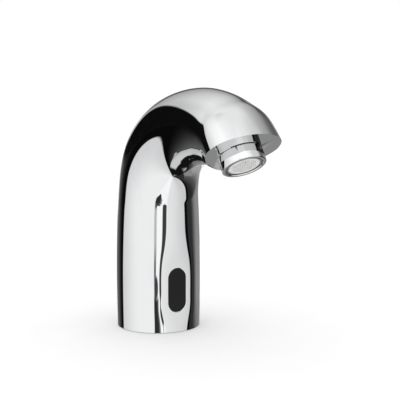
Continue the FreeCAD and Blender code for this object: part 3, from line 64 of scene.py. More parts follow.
class Wire:
    """One value in a node tree. Sums of wires and numbers become Math nodes."""

    def __init__(self, tree, socket):
        self.tree = tree
        self.socket = socket

    def sum_node(self, operation, *values):
        made = self.tree.nodes.new("ShaderNodeMath")
        made.operation = operation
        for slot, value in zip(made.inputs, values):
            if isinstance(value, Wire):
                self.tree.links.new(value.socket, slot)
            else:
                slot.default_value = value
        return Wire(self.tree, made.outputs[0])

    def maths(self, operation, *others):
        return self.sum_node(operation, self, *others)

    def __add__(self, other):
        return self.maths("ADD", other)

    def __sub__(self, other):
        return self.maths("SUBTRACT", other)

    def __rsub__(self, other):
        return self.sum_node("SUBTRACT", other, self)

    def __mul__(self, other):
        return self.maths("MULTIPLY", other)

    def __truediv__(self, other):
        return self.maths("DIVIDE", other)

    def __rtruediv__(self, other):
        return self.sum_node("DIVIDE", other, self)

    __radd__ = __add__
    __rmul__ = __mul__

    def largest(self, other):
        return self.maths("MAXIMUM", other)

    def smallest(self, other):
        return self.maths("MINIMUM", other)


class Recipe:
    """A node tree being written: a finish's or the studio's."""

    def __init__(self, tree):
        self.tree = tree
        tree.nodes.clear()

    def node(self, kind, settings=None, **values):
        """A node of any kind: its settings come first, then its sockets' values or links."""
        made = self.tree.nodes.new(kind)
        for name, value in (settings or {}).items():
            setattr(made, name, value)
        for name, value in values.items():
            slot = made.inputs[name.replace("_", " ")]
            if isinstance(value, Wire):
                self.tree.links.new(value.socket, slot)
            else:
                slot.default_value = value
        return made

    def out(self, made, name=0):
        return Wire(self.tree, made.outputs[name])

    def rise(self, wire, low, high):
        """0 below low, 1 above high, smooth between."""
        made = self.node("ShaderNodeMapRange", {"interpolation_type": "SMOOTHSTEP"},
                         Value=wire, From_Min=low, From_Max=high)
        return self.out(made)

    def band(self, wire, low, high, soft):
        """1 between low and high and 0 outside, with edges that are soft for that much each way."""
        opening = self.rise(wire, low - soft, low + soft)
        closing = self.rise(wire, high - soft, high + soft)
        return opening * (1 - closing)

    def blend(self, under, over, share):
        """One value laid over another by a share from 0 to 1."""
        return (over - under) * share + under

    def tint(self, share, low, high):
        """Colour between two tints, by a share from 0 to 1."""
        made = self.node("ShaderNodeMix", {"data_type": "RGBA"})
        self.tree.links.new(share.socket, made.inputs[MIX_SHARE])
        made.inputs[MIX_LOW].default_value = (*low, 1)
        made.inputs[MIX_HIGH].default_value = (*high, 1)
        return self.out(made, MIX_COLOUR)

    def place(self, scale=(1, 1, 1), turn=(0, 0, 0)):
        """The piece's own coordinates in metres, turned and stretched."""
        where = self.node("ShaderNodeTexCoord")
        made = self.node("ShaderNodeMapping", None, Vector=self.out(where, "Object"),
                         Rotation=turn, Scale=scale)
        return self.out(made)

    def noise(self, place, scale, detail=3.0, roughness=0.5):
        made = self.node("ShaderNodeTexNoise", None, Vector=place, Scale=scale, Detail=detail,
                         Roughness=roughness)
        return self.out(made, "Fac")

    def bump(self, height, distance, strength):
        made = self.node("ShaderNodeBump", None, Height=height, Distance=distance, Strength=strength)
        return self.out(made, "Normal")

    def finish(self, **values):
        """Closes a finish with its surface shader."""
        made = self.node("ShaderNodeBsdfPrincipled", None, **values)
        closing = self.node("ShaderNodeOutputMaterial")
        self.tree.links.new(made.outputs["BSDF"], closing.inputs["Surface"])


def new_finish(name):
    """An empty material and the recipe to write it with."""
    material = bpy.data.materials.new(name)
    material.use_nodes = True
    return material, Recipe(material.node_tree)


# ---------------------------------------------------------------- finishes

def plated_chrome():
    """Bright nickel-chrome plate: nearly clean mirror, with faint wipe marks and polishing waves."""
    material, r = new_finish("plated_chrome")
    here = r.place()
    slanting = r.place(scale=(60, 60, 18), turn=(0.4, 0.2, 0.6))
    wipes = r.noise(slanting, scale=1.0, detail=4.0, roughness=0.6)
    specks = r.noise(here, scale=900.0, detail=2.0)
    waves = r.noise(here, scale=70.0, detail=1.0)
    film = r.rise(wipes, 0.48, 0.78)
    clean, filmed = (0.86, 0.865, 0.87), (0.80, 0.81, 0.825)
    r.finish(Base_Color=r.tint(film, clean, filmed), Metallic=1.0,
             Roughness=film * 0.03 + specks * 0.012 + 0.012,
             Normal=r.bump(waves, distance=0.0004, strength=0.035))
    return material


def raw_brass():
    """Turned brass: fine lathe rings, warm, a little dulled."""
    material, r = new_finish("raw_brass")
    rings = r.noise(r.place(scale=(1, 1, 40)), scale=220.0, detail=2.0)
    dull = r.noise(r.place(), scale=160.0, detail=4.0, roughness=0.6)
    fresh, dulled = (0.80, 0.60, 0.30), (0.62, 0.45, 0.21)
    r.finish(Base_Color=r.tint(dull, fresh, dulled), Metallic=1.0, Roughness=dull * 0.18 + 0.2,
             Normal=r.bump(rings, distance=0.00004, strength=0.5))
    return material


def copper_tube():
    """Drawn copper: fine lines along the tube under darker stains."""
    material, r = new_finish("copper_tube")
    draw = r.noise(r.place(scale=(900, 900, 30)), scale=1.0, detail=2.0)
    stain = r.noise(r.place(), scale=120.0, detail=5.0, roughness=0.65)
    bright, stained = (0.80, 0.44, 0.29), (0.52, 0.25, 0.16)
    r.finish(Base_Color=r.tint(stain, bright, stained), Metallic=1.0, Roughness=stain * 0.2 + 0.2,
             Normal=r.bump(draw, distance=0.00003, strength=0.5))
    return material


def zinc_plate():
    """Zinc-plated steel: pale grey, with a soft spangle."""
    material, r = new_finish("zinc_plate")
    here = r.place()
    spangle = r.out(r.node("ShaderNodeTexVoronoi", None, Vector=here, Scale=420.0), "Distance")
    grain = r.noise(here, scale=1500.0, detail=2.0)
    dark, pale = (0.56, 0.58, 0.60), (0.70, 0.72, 0.73)
    r.finish(Base_Color=r.tint(spangle, dark, pale), Metallic=1.0, Roughness=spangle * 0.15 + 0.28,
             Normal=r.bump(grain, distance=0.00005, strength=0.5))
    return material


def steel():
    """Brushed stainless steel, slightly cloudy."""
    material, r = new_finish("steel")
    brushed = r.noise(r.place(scale=(1400, 1400, 60)), scale=1.0)
    cloud = r.noise(r.place(), scale=140.0)
    bright, clouded = (0.62, 0.62, 0.63), (0.50, 0.50, 0.51)
    r.finish(Base_Color=r.tint(cloud, bright, clouded), Metallic=1.0, Roughness=brushed * 0.14 + 0.2,
             Normal=r.bump(brushed, distance=0.00003, strength=0.5))
    return material


def magnet_grey():
    """Sintered magnet: dark, dull and grainy."""
    material, r = new_finish("magnet_grey")
    grain = r.noise(r.place(), scale=2200.0, detail=4.0, roughness=0.7)
    dark, pale = (0.07, 0.07, 0.075), (0.15, 0.15, 0.155)
    r.finish(Base_Color=r.tint(grain, dark, pale), Metallic=0.6, Roughness=grain * 0.2 + 0.45,
             Normal=r.bump(grain, distance=0.00008, strength=0.7))
    return material


def moulded(name, dark, pale, roughness, grain_scale, grain_depth):
    """A moulded plastic or rubber: cloudy colour, even grain, softer shine on the high spots."""
    material, r = new_finish(name)
    here = r.place()
    grain = r.noise(here, scale=grain_scale, roughness=0.6)
    cloud = r.noise(here, scale=grain_scale / 14)
    r.finish(Base_Color=r.tint(cloud, dark, pale), Roughness=grain * 0.16 + cloud * 0.08 + roughness,
             Normal=r.bump(grain, distance=grain_depth, strength=0.6))
    return material


def dark_lens():
    """Smoked, polished plastic that lets infrared through, with hairline scratches."""
    material, r = new_finish("dark_lens")
    depth = r.noise(r.place(), scale=90.0, detail=2.0)
    hairlines = r.noise(r.place(scale=(2600, 2600, 90), turn=(0, 0.3, 0)), scale=1.0, detail=2.0)
    black, smoke = (0.0035, 0.0033, 0.003), (0.008, 0.0075, 0.0065)
    r.finish(Base_Color=r.tint(depth, black, smoke), IOR=1.3,
             Roughness=r.rise(hairlines, 0.62, 0.8) * 0.12 + 0.06,
             Normal=r.bump(hairlines, distance=0.00001, strength=0.2))
    return material


def board_green():
    """Glass-fibre board: solder mask over a woven laminate and faint copper paths."""
    material, r = new_finish("board_green")
    weave = r.out(r.node("ShaderNodeTexWave", {"wave_type": "BANDS"}, Scale=420.0, Distortion=0.6,
                         Vector=r.place(turn=(0, 0.785, 0))), "Fac")
    cells = r.out(r.node("ShaderNodeTexVoronoi", {"distance": "MANHATTAN"}, Scale=320.0,
                         Vector=r.place()), "Distance")
    path = r.rise(cells, 0.42, 0.46)
    mask, over_copper = (0.018, 0.11, 0.05), (0.05, 0.22, 0.10)
    r.finish(Base_Color=r.tint(path, mask, over_copper), Roughness=weave * 0.08 + 0.32,
             Normal=r.bump(weave + path * 2, distance=0.00003, strength=0.6))
    return material


FINISHES = {
    "plated_chrome": plated_chrome(),
    "raw_brass": raw_brass(),
    "copper_tube": copper_tube(),
    "zinc_plate": zinc_plate(),
    "steel": steel(),
    "magnet_grey": magnet_grey(),
    "black_rubber": moulded("black_rubber", dark=(0.012, 0.012, 0.012), pale=(0.03, 0.03, 0.03),
                            roughness=0.55, grain_scale=1500.0, grain_depth=0.00006),
    "grey_plastic": moulded("grey_plastic", dark=(0.20, 0.205, 0.21), pale=(0.27, 0.275, 0.28),
                            roughness=0.38, grain_scale=1800.0, grain_depth=0.00004),
    "light_plastic": moulded("light_plastic", dark=(0.66, 0.66, 0.65), pale=(0.76, 0.76, 0.75),
                             roughness=0.36, grain_scale=1800.0, grain_depth=0.00004),
    "dark_plastic": moulded("dark_plastic", dark=(0.014, 0.014, 0.015), pale=(0.035, 0.035, 0.037),
                            roughness=0.4, grain_scale=1600.0, grain_depth=0.00005),
    "dark_lens": dark_lens(),
    "board_green": board_green(),
}
SLOT_OF = {part["node"]: part["material_slot"] for part in frame["record"]["subparts"]}


def dress(piece, slot):
    piece.data.materials.clear()
    piece.data.materials.append(FINISHES[slot])


def stand_in(piece, node, body, slot):
    """Finishes a piece and puts it in a CAD node's place, on the body that carries the node."""
    dress(piece, slot)
    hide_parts(node)
    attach(piece, body)
    return piece


for name, piece in frame["nodes"].items():
    dress(piece, SLOT_OF[name])


# ---------------------------------------------------------------- the cast form, in millimetres

# The centre line: straight up, then one arch to the mouth. Its points are (forward, up).
COLUMN_RADIUS = 24.8
STRAIGHT_HEIGHT = 85.0
RISE_PULL = 40.0
MOUTH = (95.8, 115.2)
MOUTH_TURN = math.radians(148.7)
MOUTH_PULL = 16.4
RUN_PAST_MOUTH = 80.0
SPINE_STEPS = 401

# The casting's wall, and how finely its skin and its hollow are divided, round and along.
WALL = 3.2
SKIN_FACES = (224, 268)
HOLLOW_FACES = (96, 130)

# Share of the centre line, half depth and half width there.
FORM = np.array([
    (0.0, COLUMN_RADIUS, COLUMN_RADIUS),
    (0.15, 25.2, 25.2),
    (0.4, 24.2, 23.85),
    (0.55, 24.8, 21.9),
    (0.7, 24.4, 20.45),
    (0.85, 22.0, 20.2),
    (1.0, 16.9, 22.0),
])
STATIONS = np.array([
    0.0, 0.035, 0.07, 0.105, 0.14, 0.175, 0.21, 0.25, 0.29, 0.33, 0.37, 0.42, 0.47,
    0.52, 0.57, 0.62, 0.67, 0.72, 0.77, 0.82, 0.87, 0.91, 0.94, 0.97, 1.0, 1.06,
])

# The underside's own curve, between the shares where it leaves the form and where it fans out.
BEND_SHARE = 0.37
FAN_SHARE = 0.91
UNDER_BEND = np.array((24.0, 97.0))
UNDER_NECK = np.array((50.0, 107.5))
FAN_RUN = np.array((5.0, 0.5))

# How the round section changes: a fuller crown, a slight ridge on it, and a narrower underside.
CROWN_FULLNESS = 0.18
CROWN_KEEL = 0.05
KEEL_START = 0.55
KEEL_GROWTH = 0.3
KEEL_SHARPNESS = 10
MOUTH_TAPER = 0.11
TAPER_GROWTH = 5

# The flattened pad round the window.
PAD_DISTANCE = 23.5
PAD_SOFTNESS = 34
PAD_FOOT_DISTANCE = 24.9
PAD_FOOT_END = 14
PAD_FADE_START = 36
PAD_FADE_END = 76
PAD_FADE_DISTANCE = 27
PAD_SIDEWAYS = 0.3
COLUMN_AXIS_NEAR = 0.01

# The oblique face under the spout, and the outlet in it.
FACE_REACH = 78.0
FACE_HEIGHT = 102.8
FACE_ANGLE = math.radians(33.1)
FACE_WALL = 4.0
OUTLET_REACH = 92.9
OUTLET_HEIGHT = FACE_HEIGHT + (OUTLET_REACH - FACE_REACH) * math.tan(FACE_ANGLE)
OUTLET_BORE = 8.6
BORE_START = -6
BORE_END = 1
TRIM_FROM = 45.0
FACE_POINT = Vector((0, -FACE_REACH, FACE_HEIGHT)) * MM
FACE_OUT = Vector((0, -math.sin(FACE_ANGLE), -math.cos(FACE_ANGLE)))
OUTLET = Vector((0, -OUTLET_REACH, OUTLET_HEIGHT)) * MM
OUTLET_PLACE = Matrix.Translation(OUTLET) @ Matrix.Rotation(math.pi - FACE_ANGLE, 4, "X")

# The sensor's window in the pad, by its half width and half height. Its opening goes forward in
# steps of (distance ahead of the axis, growth), and flares where it meets the skin.
WINDOW_MIDDLE = 25.0
WINDOW_WIDTH = 5.9
WINDOW_HEIGHT = 13.1
WINDOW_GAP = 0.08
OPENING_BACK = 17.6
OPENING_STEPS = ((23.25, 0.0), (23.47, 0.22), (25.13, 0.88))

# The groove for the foot's gasket, and how far the cutters run out of the foot.
GROOVE_INSIDE = 22.25
GROOVE_OUTSIDE = 23.25
GROOVE_DEPTH = 0.9
GROOVE_RUN_OUT = 1
HOLLOW_RUN_OUT = 2

SAME_SPOT = 1e-7
SHARP_EDGE = 28


def cubic(ends, pulls, t):
    """Points of a cubic curve between two ends, drawn by two pulling points."""
    return ((1 - t) ** 3 * ends[0] + 3 * t * (1 - t) ** 2 * pulls[0]
            + 3 * t ** 2 * (1 - t) * pulls[1] + t ** 3 * ends[1])


def spline_weights(knots, wanted):
    """Rows that give a smooth curve's values at the wanted places from its values at the knots."""
    n = len(knots)
    gap = np.diff(knots)
    bend = np.zeros((n, n))
    side = np.zeros((n, n))
    bend[0, 0] = bend[-1, -1] = 1
    for i in range(1, n - 1):
        bend[i, i - 1:i + 2] = gap[i - 1], 2 * (gap[i - 1] + gap[i]), gap[i]
        side[i, i - 1:i + 2] = 6 / gap[i - 1], -6 / gap[i - 1] - 6 / gap[i], 6 / gap[i]
    second = np.linalg.solve(bend, side)
    low = np.clip(np.searchsorted(knots, wanted, side="right") - 1, 0, n - 2)
    width = gap[low]
    below = (knots[low + 1] - wanted) / width
    above = 1 - below
    rows = ((below ** 3 - below) * width ** 2 / 6)[:, None] * second[low]
    rows += ((above ** 3 - above) * width ** 2 / 6)[:, None] * second[low + 1]
    rows[np.arange(len(wanted)), low] += below
    rows[np.arange(len(wanted)), low + 1] += above
    return rows


def spine_curve():
    """The centre line's points and headings (forward, up), with the share of its length at each."""
    foot, end = np.array((0.0, STRAIGHT_HEIGHT)), np.array(MOUTH)
    into_mouth = np.array((math.sin(MOUTH_TURN), math.cos(MOUTH_TURN)))
    pulls = np.array((0.0, STRAIGHT_HEIGHT + RISE_PULL)), end - MOUTH_PULL * into_mouth
    t = np.linspace(0, 1, SPINE_STEPS)[:, None]
    points = np.vstack([[(0.0, 0.0)], cubic((foot, end), pulls, t)])
    slope = 3 * ((1 - t) ** 2 * (pulls[0] - foot) + 2 * t * (1 - t) * (pulls[1] - pulls[0])
                 + t ** 2 * (end - pulls[1]))
    headings = np.vstack([[(0.0, 1.0)], slope / np.linalg.norm(slope, axis=1)[:, None]])
    length = np.concatenate([[0], np.cumsum(np.linalg.norm(np.diff(points, axis=0), axis=1))])
    return points, headings, length / length[-1]


def across_spine(spine, share):
    """Under point and crown point at a share of the centre line, with the half width there."""
    points, headings, shares = spine
    inside = min(share, 1.0)
    centre = np.array([np.interp(inside, shares, points[:, k]) for k in (0, 1)])
    heading = np.array([np.interp(inside, shares, headings[:, k]) for k in (0, 1)])
    heading /= np.linalg.norm(heading)
    centre = centre + max(share - 1.0, 0.0) * RUN_PAST_MOUTH * heading
    depth, width = spline_weights(FORM[:, 0], np.array([inside]))[0] @ FORM[:, 1:]
    reach = np.array((-heading[1], heading[0])) * depth
    return centre - reach, centre + reach, width


def under_point(share, under, foot, hinge):
    """The underside's point at a share: its own curve from the bend to the fan, then a straight run."""
    if share >= FAN_SHARE:
        return hinge + FAN_RUN * (share - FAN_SHARE) / (1 - FAN_SHARE)
    if share > BEND_SHARE:
        t = (share - BEND_SHARE) / (FAN_SHARE - BEND_SHARE)
        return cubic((foot, hinge), (UNDER_BEND, UNDER_NECK), t)
    return under


def ease(x):
    """0 below 0, 1 above 1, smooth between."""
    x = min(max(x, 0.0), 1.0)
    return x * x * (3 - 2 * x)


def pad_limit(height):
    """How far forward the skin may stand at a height."""
    foot = (PAD_FOOT_DISTANCE - PAD_DISTANCE) * (1 - ease(height / PAD_FOOT_END))
    fade = ease((height - PAD_FADE_START) / (PAD_FADE_END - PAD_FADE_START))
    return PAD_DISTANCE + foot + (PAD_FADE_DISTANCE - PAD_DISTANCE) * fade


def flattened(across, outer, height):
    """A section's points on the column, held back softly to the pad where they face forward."""
    reach = np.hypot(across, outer)
    forward = -outer / reach
    facing = forward > PAD_SIDEWAYS
    limit = pad_limit(height) / np.where(facing, forward, 1)
    eased = (reach ** -PAD_SOFTNESS + limit ** -PAD_SOFTNESS) ** (-1 / PAD_SOFTNESS)
    scale = np.where(facing, eased / reach, 1)
    return across * scale, outer * scale


def cross_sections(inset, around):
    """Station by station, the points of the form's section, in metres; angle 0 is the crown."""
    spine = spine_curve()
    foot = across_spine(spine, BEND_SHARE)[0]
    hinge = across_spine(spine, FAN_SHARE)[0]
    angle = np.linspace(0, 2 * math.pi, around + 1)
    crown_side = np.maximum(np.cos(angle), 0)
    under_side = np.maximum(-np.cos(angle), 0)
    sections = []
    for share in STATIONS:
        under, crown, width = across_spine(spine, share)
        under = under_point(share, under, foot, hinge)
        span = np.linalg.norm(crown - under)
        middle = (crown + under) / 2
        crownward = (crown - under) / span
        keel = CROWN_KEEL * min(max((share - KEEL_START) / KEEL_GROWTH, 0), 1) ** 2
        fullness = CROWN_FULLNESS * share ** 2
        taper = MOUTH_TAPER * min(share, 1) ** TAPER_GROWTH
        rounding = 1 + fullness * crown_side ** 2 - taper * under_side
        across = (width - inset) * np.sin(angle) * rounding
        outer = (span / 2 - inset) * np.cos(angle) * (1 + keel * crown_side ** KEEL_SHARPNESS)
        if inset == 0 and abs(middle[0]) < COLUMN_AXIS_NEAR:
            across, outer = flattened(across, outer, middle[1])
        back = -middle[0] - outer * crownward[0]
        height = middle[1] + outer * crownward[1]
        sections.append(np.stack([across, back, height], 1))
    return np.array(sections) * MM


# ---------------------------------------------------------------- ways of working

def cap_ends(bm):
    """Closes the open ends and turns the faces outwards."""
    bmesh.ops.holes_fill(bm, edges=[edge for edge in bm.edges if edge.is_boundary], sides=0)
    bmesh.ops.recalc_face_normals(bm, faces=bm.faces)


def drawn_out(made):
    """The new points and edges of an extrusion."""
    points = [part for part in made["geom"] if isinstance(part, bmesh.types.BMVert)]
    fresh = set(points)
    edges = [part for part in made["geom"] if isinstance(part, bmesh.types.BMEdge)
             and fresh.issuperset(part.verts)]
    return points, edges


def as_piece(name, bm):
    """A new object in the scene from worked shape, which is used up."""
    mesh = bpy.data.meshes.new(name)
    bm.to_mesh(mesh)
    bm.free()
    piece = bpy.data.objects.new(name, mesh)
    bpy.context.scene.collection.objects.link(piece)
    return piece


def smooth(piece, sharp=SHARP_EDGE):
    """Shades the piece smooth, but for edges that bend by more than so many degrees."""
    piece.data.shade_smooth()
    piece.data.set_sharp_from_angle(angle=math.radians(sharp))
    return piece


def cut(piece, *tools):
    """Cuts the tool shapes from the piece, and clears them away."""
    for tool in tools:
        change = piece.modifiers.new("cut", "BOOLEAN")
        change.operation = "DIFFERENCE"
        change.solver = "MANIFOLD"
        change.object = tool
    bpy.context.view_layer.update()
    evaluated = piece.evaluated_get(bpy.context.evaluated_depsgraph_get())
    result = bpy.data.meshes.new_from_object(evaluated)
    piece.modifiers.clear()
    old = piece.data
    piece.data = result
    bpy.data.meshes.remove(old)
    for tool in tools:
        bpy.data.objects.remove(tool)


def rounded(bm, offset, segments, wanted):
    """Rounds the edges that the test wants."""
    bmesh.ops.bevel(bm, geom=[edge for edge in bm.edges if wanted(edge)], offset=offset * MM,
                    offset_type="OFFSET", segments=segments, profile=0.5, affect="EDGES", material=-1)


def closed_outline(bm, corners):
    """Points and edges of a closed outline in the plane that is turned, from (radius, height) pairs."""
    points = [bm.verts.new((radius * MM, 0, height * MM)) for radius, height in corners]
    edges = [bm.edges.new(pair) for pair in zip(points, points[1:] + points[:1])
             if max(end.co.x for end in pair) > SAME_SPOT]
    return points + edges


def turned(profile, place=UPRIGHT, steps=96):
    """Shape turned round an axis from a closed (radius, height) profile in millimetres."""
    bm = bmesh.new()
    bmesh.ops.spin(bm, geom=closed_outline(bm, profile), cent=(0, 0, 0), axis=(0, 0, 1),
                   angle=2 * math.pi, steps=steps, use_merge=True)
    bmesh.ops.remove_doubles(bm, verts=bm.verts, dist=SAME_SPOT)
    bmesh.ops.recalc_face_normals(bm, faces=bm.faces)
    bm.transform(place)
    return bm


def wound(bm, outline, turns, pitch, steps_a_turn):
    """Winds an outline into a helix about the upright axis, with closed ends."""
    steps = turns * steps_a_turn
    bmesh.ops.spin(bm, geom=outline, cent=(0, 0, 0), axis=(0, 0, 1), angle=2 * math.pi * turns,
                   dvec=(0, 0, pitch * MM / steps_a_turn), steps=steps, use_merge=False,
                   use_duplicate=False)
    cap_ends(bm)


def stadium(half_width, half_height, distance, segments):
    """Upright round-ended face about the window's middle, at a distance ahead of the axis."""
    straight = half_height - half_width
    bm = bmesh.new()
    bmesh.ops.create_circle(bm, cap_ends=True, segments=segments, radius=half_width * MM)
    for vertex in bm.verts:
        across, up = vertex.co.x, vertex.co.y
        lift = math.copysign(straight * MM, up) + WINDOW_MIDDLE * MM
        vertex.co = (across, -distance * MM, up + lift)
    return bm


# ---------------------------------------------------------------- the casting

def cast_skin(inset, around, along, face_point):
    """Closed skin of the cast form: a sheet wrapped on the form, trimmed at the oblique face."""
    smoothed = spline_weights(STATIONS, np.linspace(STATIONS[0], STATIONS[-1], along + 1))
    surface = np.einsum("sk,kac->sac", smoothed, cross_sections(inset, around))
    bm = bmesh.new()
    bmesh.ops.create_grid(bm, x_segments=around, y_segments=along, size=1)
    for vertex in bm.verts:
        turn = round((vertex.co.x + 1) / 2 * around)
        row = round((vertex.co.y + 1) / 2 * along)
        vertex.co = surface[row, turn]
    bmesh.ops.remove_doubles(bm, verts=bm.verts, dist=SAME_SPOT)
    spout = [face for face in bm.faces if face.calc_center_median().y < -TRIM_FROM * MM]
    nearby = list({part for face in spout for part in (*face.verts, *face.edges, face)})
    bmesh.ops.bisect_plane(bm, geom=nearby, plane_co=face_point, plane_no=FACE_OUT, clear_outer=True)
    cap_ends(bm)
    return bm


def window_opening():
    """Cutter for the window's opening, drawn forward through steps that widen."""
    half_width, half_height = WINDOW_WIDTH + WINDOW_GAP, WINDOW_HEIGHT + WINDOW_GAP
    straight = half_height - half_width
    bm = stadium(half_width, half_height, OPENING_BACK, 96)
    loop = list(bm.edges)
    for distance, wider in OPENING_STEPS:
        points, loop = drawn_out(bmesh.ops.extrude_edge_only(bm, edges=loop))
        for vertex in points:
            level = vertex.co.z / MM - WINDOW_MIDDLE
            hub = min(max(level, -straight), straight)
            out = Vector((vertex.co.x / MM, level - hub))
            out *= (half_width + wider) / out.length
            vertex.co = Vector((out.x, -distance, WINDOW_MIDDLE + hub + out.y)) * MM
    cap_ends(bm)
    return as_piece("window_opening", bm)


def shade_from_skin(piece, skin, reach=2e-6, alike=0.93):
    """Shades the piece with the uncut skin's own normals, wherever the piece still lies on it."""
    tree = BVHTree.FromBMesh(skin)
    skin.faces.ensure_lookup_table()
    skin.normal_update()
    mesh = smooth(piece).data
    on_skin = {}
    for vertex in mesh.vertices:
        spot, _, index, distance = tree.find_nearest(vertex.co)
        if distance < reach:
            corners = skin.faces[index].verts
            shares = poly_3d_calc([corner.co for corner in corners], spot)
            normal = sum((corner.normal * share for corner, share in zip(corners, shares)), Vector())
            on_skin[vertex.index] = normal.normalized()
    normals = [Vector(corner.vector) for corner in mesh.corner_normals]
    for face in mesh.polygons:
        for corner in face.loop_indices:
            wanted = on_skin.get(mesh.loops[corner].vertex_index)
            if wanted is not None and wanted.dot(face.normal) > alike:
                normals[corner] = wanted
    mesh.normals_split_custom_set(normals)


def spout_casting():
    """Plated casting: arched shell with the window opening, the bored end wall and the foot's groove."""
    skin = cast_skin(0.0, *SKIN_FACES, FACE_POINT)
    uncut = skin.copy()
    piece = as_piece("tap_casting", skin)
    hollow = cast_skin(WALL, *HOLLOW_FACES, FACE_POINT - FACE_OUT * FACE_WALL * MM)
    foot = [vertex for vertex in hollow.verts if vertex.co.z < SAME_SPOT]
    bmesh.ops.translate(hollow, verts=foot, vec=(0, 0, -HOLLOW_RUN_OUT * MM))
    bore = turned([(0, BORE_START), (OUTLET_BORE, BORE_START), (OUTLET_BORE, BORE_END), (0, BORE_END)],
                  OUTLET_PLACE)
    groove = turned([(GROOVE_INSIDE, -GROOVE_RUN_OUT), (GROOVE_OUTSIDE, -GROOVE_RUN_OUT),
                     (GROOVE_OUTSIDE, GROOVE_DEPTH), (GROOVE_INSIDE, GROOVE_DEPTH)])
    cut(piece, as_piece("hollow", hollow), window_opening(),
        as_piece("outlet_bore", bore), as_piece("foot_groove", groove))
    shade_from_skin(piece, uncut)
    uncut.free()
    return piece


stand_in(spout_casting(), "spout_body", "tap_body", "plated_chrome")


# ---------------------------------------------------------------- jet regulator, out from its face

RING_RADIUS = 12.3
RING_LENGTH = 8.2
RING_GAP = 0.3
RING_BORE = 10.76
LIP_RADIUS = 10.3
LIP_BACK = 6.75
LIP_ROUNDING = 0.55
RING_ROUNDING = 0.3

SCREEN_RADIUS = 8.7
SCREEN_BACK = 6.8
SCREEN_FRONT = 7.7
SCREEN_EDGE = 0.15
CELL_PITCH = 1.16
CELL_RADIUS = 0.5
CELL_RINGS = 6
CELL_FLOOR = 7.35
CELL_CUT = 0.6

THREAD_PITCH = 1.0
THREAD_TURNS = 5
THREAD_START = 0.9
THREAD_STEPS = 60
# The groove's section, from the point of the V outwards: radius and height from its middle.
THREAD_GROOVE = ((10.2, -0.06), (10.2, 0.06), (10.95, 0.44), (10.95, -0.44))


def regulator_ring():
    """Plated screw ring of the jet regulator, with its rolled lip."""
    bm = turned([(RING_BORE, RING_GAP), (RING_RADIUS, RING_GAP), (RING_RADIUS, RING_LENGTH),
                 (LIP_RADIUS, RING_LENGTH), (LIP_RADIUS, LIP_BACK), (RING_BORE, LIP_BACK)], steps=128)

    def rim(edge, height, *radii):
        """Whether an edge lies along a circle at this height, of one of these radii."""
        return any(all(abs(math.hypot(end.co.x, end.co.y) - radius * MM) < SAME_SPOT
                       and abs(end.co.z - height * MM) < SAME_SPOT for end in edge.verts)
                   for radius in radii)

    rounded(bm, LIP_ROUNDING, 5, lambda edge: rim(edge, RING_LENGTH, RING_RADIUS, LIP_RADIUS))
    rounded(bm, RING_ROUNDING, 3, lambda edge: rim(edge, RING_GAP, RING_RADIUS))
    bmesh.ops.recalc_face_normals(bm, faces=bm.faces)
    bm.transform(OUTLET_PLACE)
    return smooth(as_piece("regulator_ring", bm))


def jet_screen():
    """Jet former's face: a pale disc with a fine honeycomb of shallow six-sided cells."""
    disc = as_piece("jet_screen", turned([
        (0, SCREEN_BACK), (SCREEN_RADIUS, SCREEN_BACK), (SCREEN_RADIUS, SCREEN_FRONT - SCREEN_EDGE),
        (SCREEN_RADIUS - SCREEN_EDGE, SCREEN_FRONT), (0, SCREEN_FRONT)], steps=72))
    cells = bmesh.new()
    for row in range(-CELL_RINGS, CELL_RINGS + 1):
        for column in range(-CELL_RINGS, CELL_RINGS + 1):
            if abs(row + column) <= CELL_RINGS:
                across, up = column + row / 2, row * math.sqrt(0.75)
                centre = Vector((CELL_PITCH * across, CELL_PITCH * up, CELL_FLOOR)) * MM
                bmesh.ops.create_circle(cells, cap_ends=True, segments=6, radius=CELL_RADIUS * MM,
                                        matrix=Matrix.Translation(centre))
    points, _ = drawn_out(bmesh.ops.extrude_face_region(cells, geom=list(cells.faces)))
    bmesh.ops.translate(cells, verts=points, vec=(0, 0, CELL_CUT * MM))
    bmesh.ops.recalc_face_normals(cells, faces=cells.faces)
    cut(disc, as_piece("screen_cells", cells))
    disc.data.transform(OUTLET_PLACE)
    return smooth(disc)


stand_in(regulator_ring(), "aerator_housing", "aerator_ring", "plated_chrome")
stand_in(jet_screen(), "aerator_screen", "aerator_insert", "light_plastic")


# ---------------------------------------------------------------- springs, thread and membrane

VALVE_AXIS = (-4.5, 7.2)
COIL_RADIUS = 2.6
COIL_STEPS = 28
WIRE_SIDES = 10
SPRINGS = (
    # piece, CAD node, joint, lower and upper end in millimetres, turns, wire, the joint's stroke
    ("return_coil", "plunger_spring", "plunger_lift", 44.04, 52.1, 8, 0.5, 1.2),
    ("check_coil", "check_valve_spring", "check_open", 16.52, 19.14, 3, 0.35, 1.2),
)


def on_valve_axis(height):
    return Vector((*VALVE_AXIS, height)) * MM


def coil_spring(name, low, high, turns, wire):
    """Wound wire spring on the valve's axis, between two heights."""
    bm = bmesh.new()
    start = Vector((COIL_RADIUS - wire / 2, 0, low + wire / 2)) * MM
    place = Matrix.Translation(start) @ Matrix.Rotation(math.pi / 2, 4, "X")
    bmesh.ops.create_circle(bm, cap_ends=False, segments=WIRE_SIDES, radius=wire / 2 * MM, matrix=place)
    wound(bm, list(bm.verts) + list(bm.edges), turns, (high - low - wire) / turns, COIL_STEPS)
    bm.transform(Matrix.Translation(on_valve_axis(0)))
    return smooth(as_piece(name, bm), sharp=50)


def merged_copy(name, node):
    """A new piece from a CAD node's mesh, with its loose triangles joined."""
    bm = bmesh.new()
    bm.from_mesh(frame["nodes"][node].data)
    bmesh.ops.remove_doubles(bm, verts=bm.verts, dist=SAME_SPOT)
    return as_piece(name, bm)


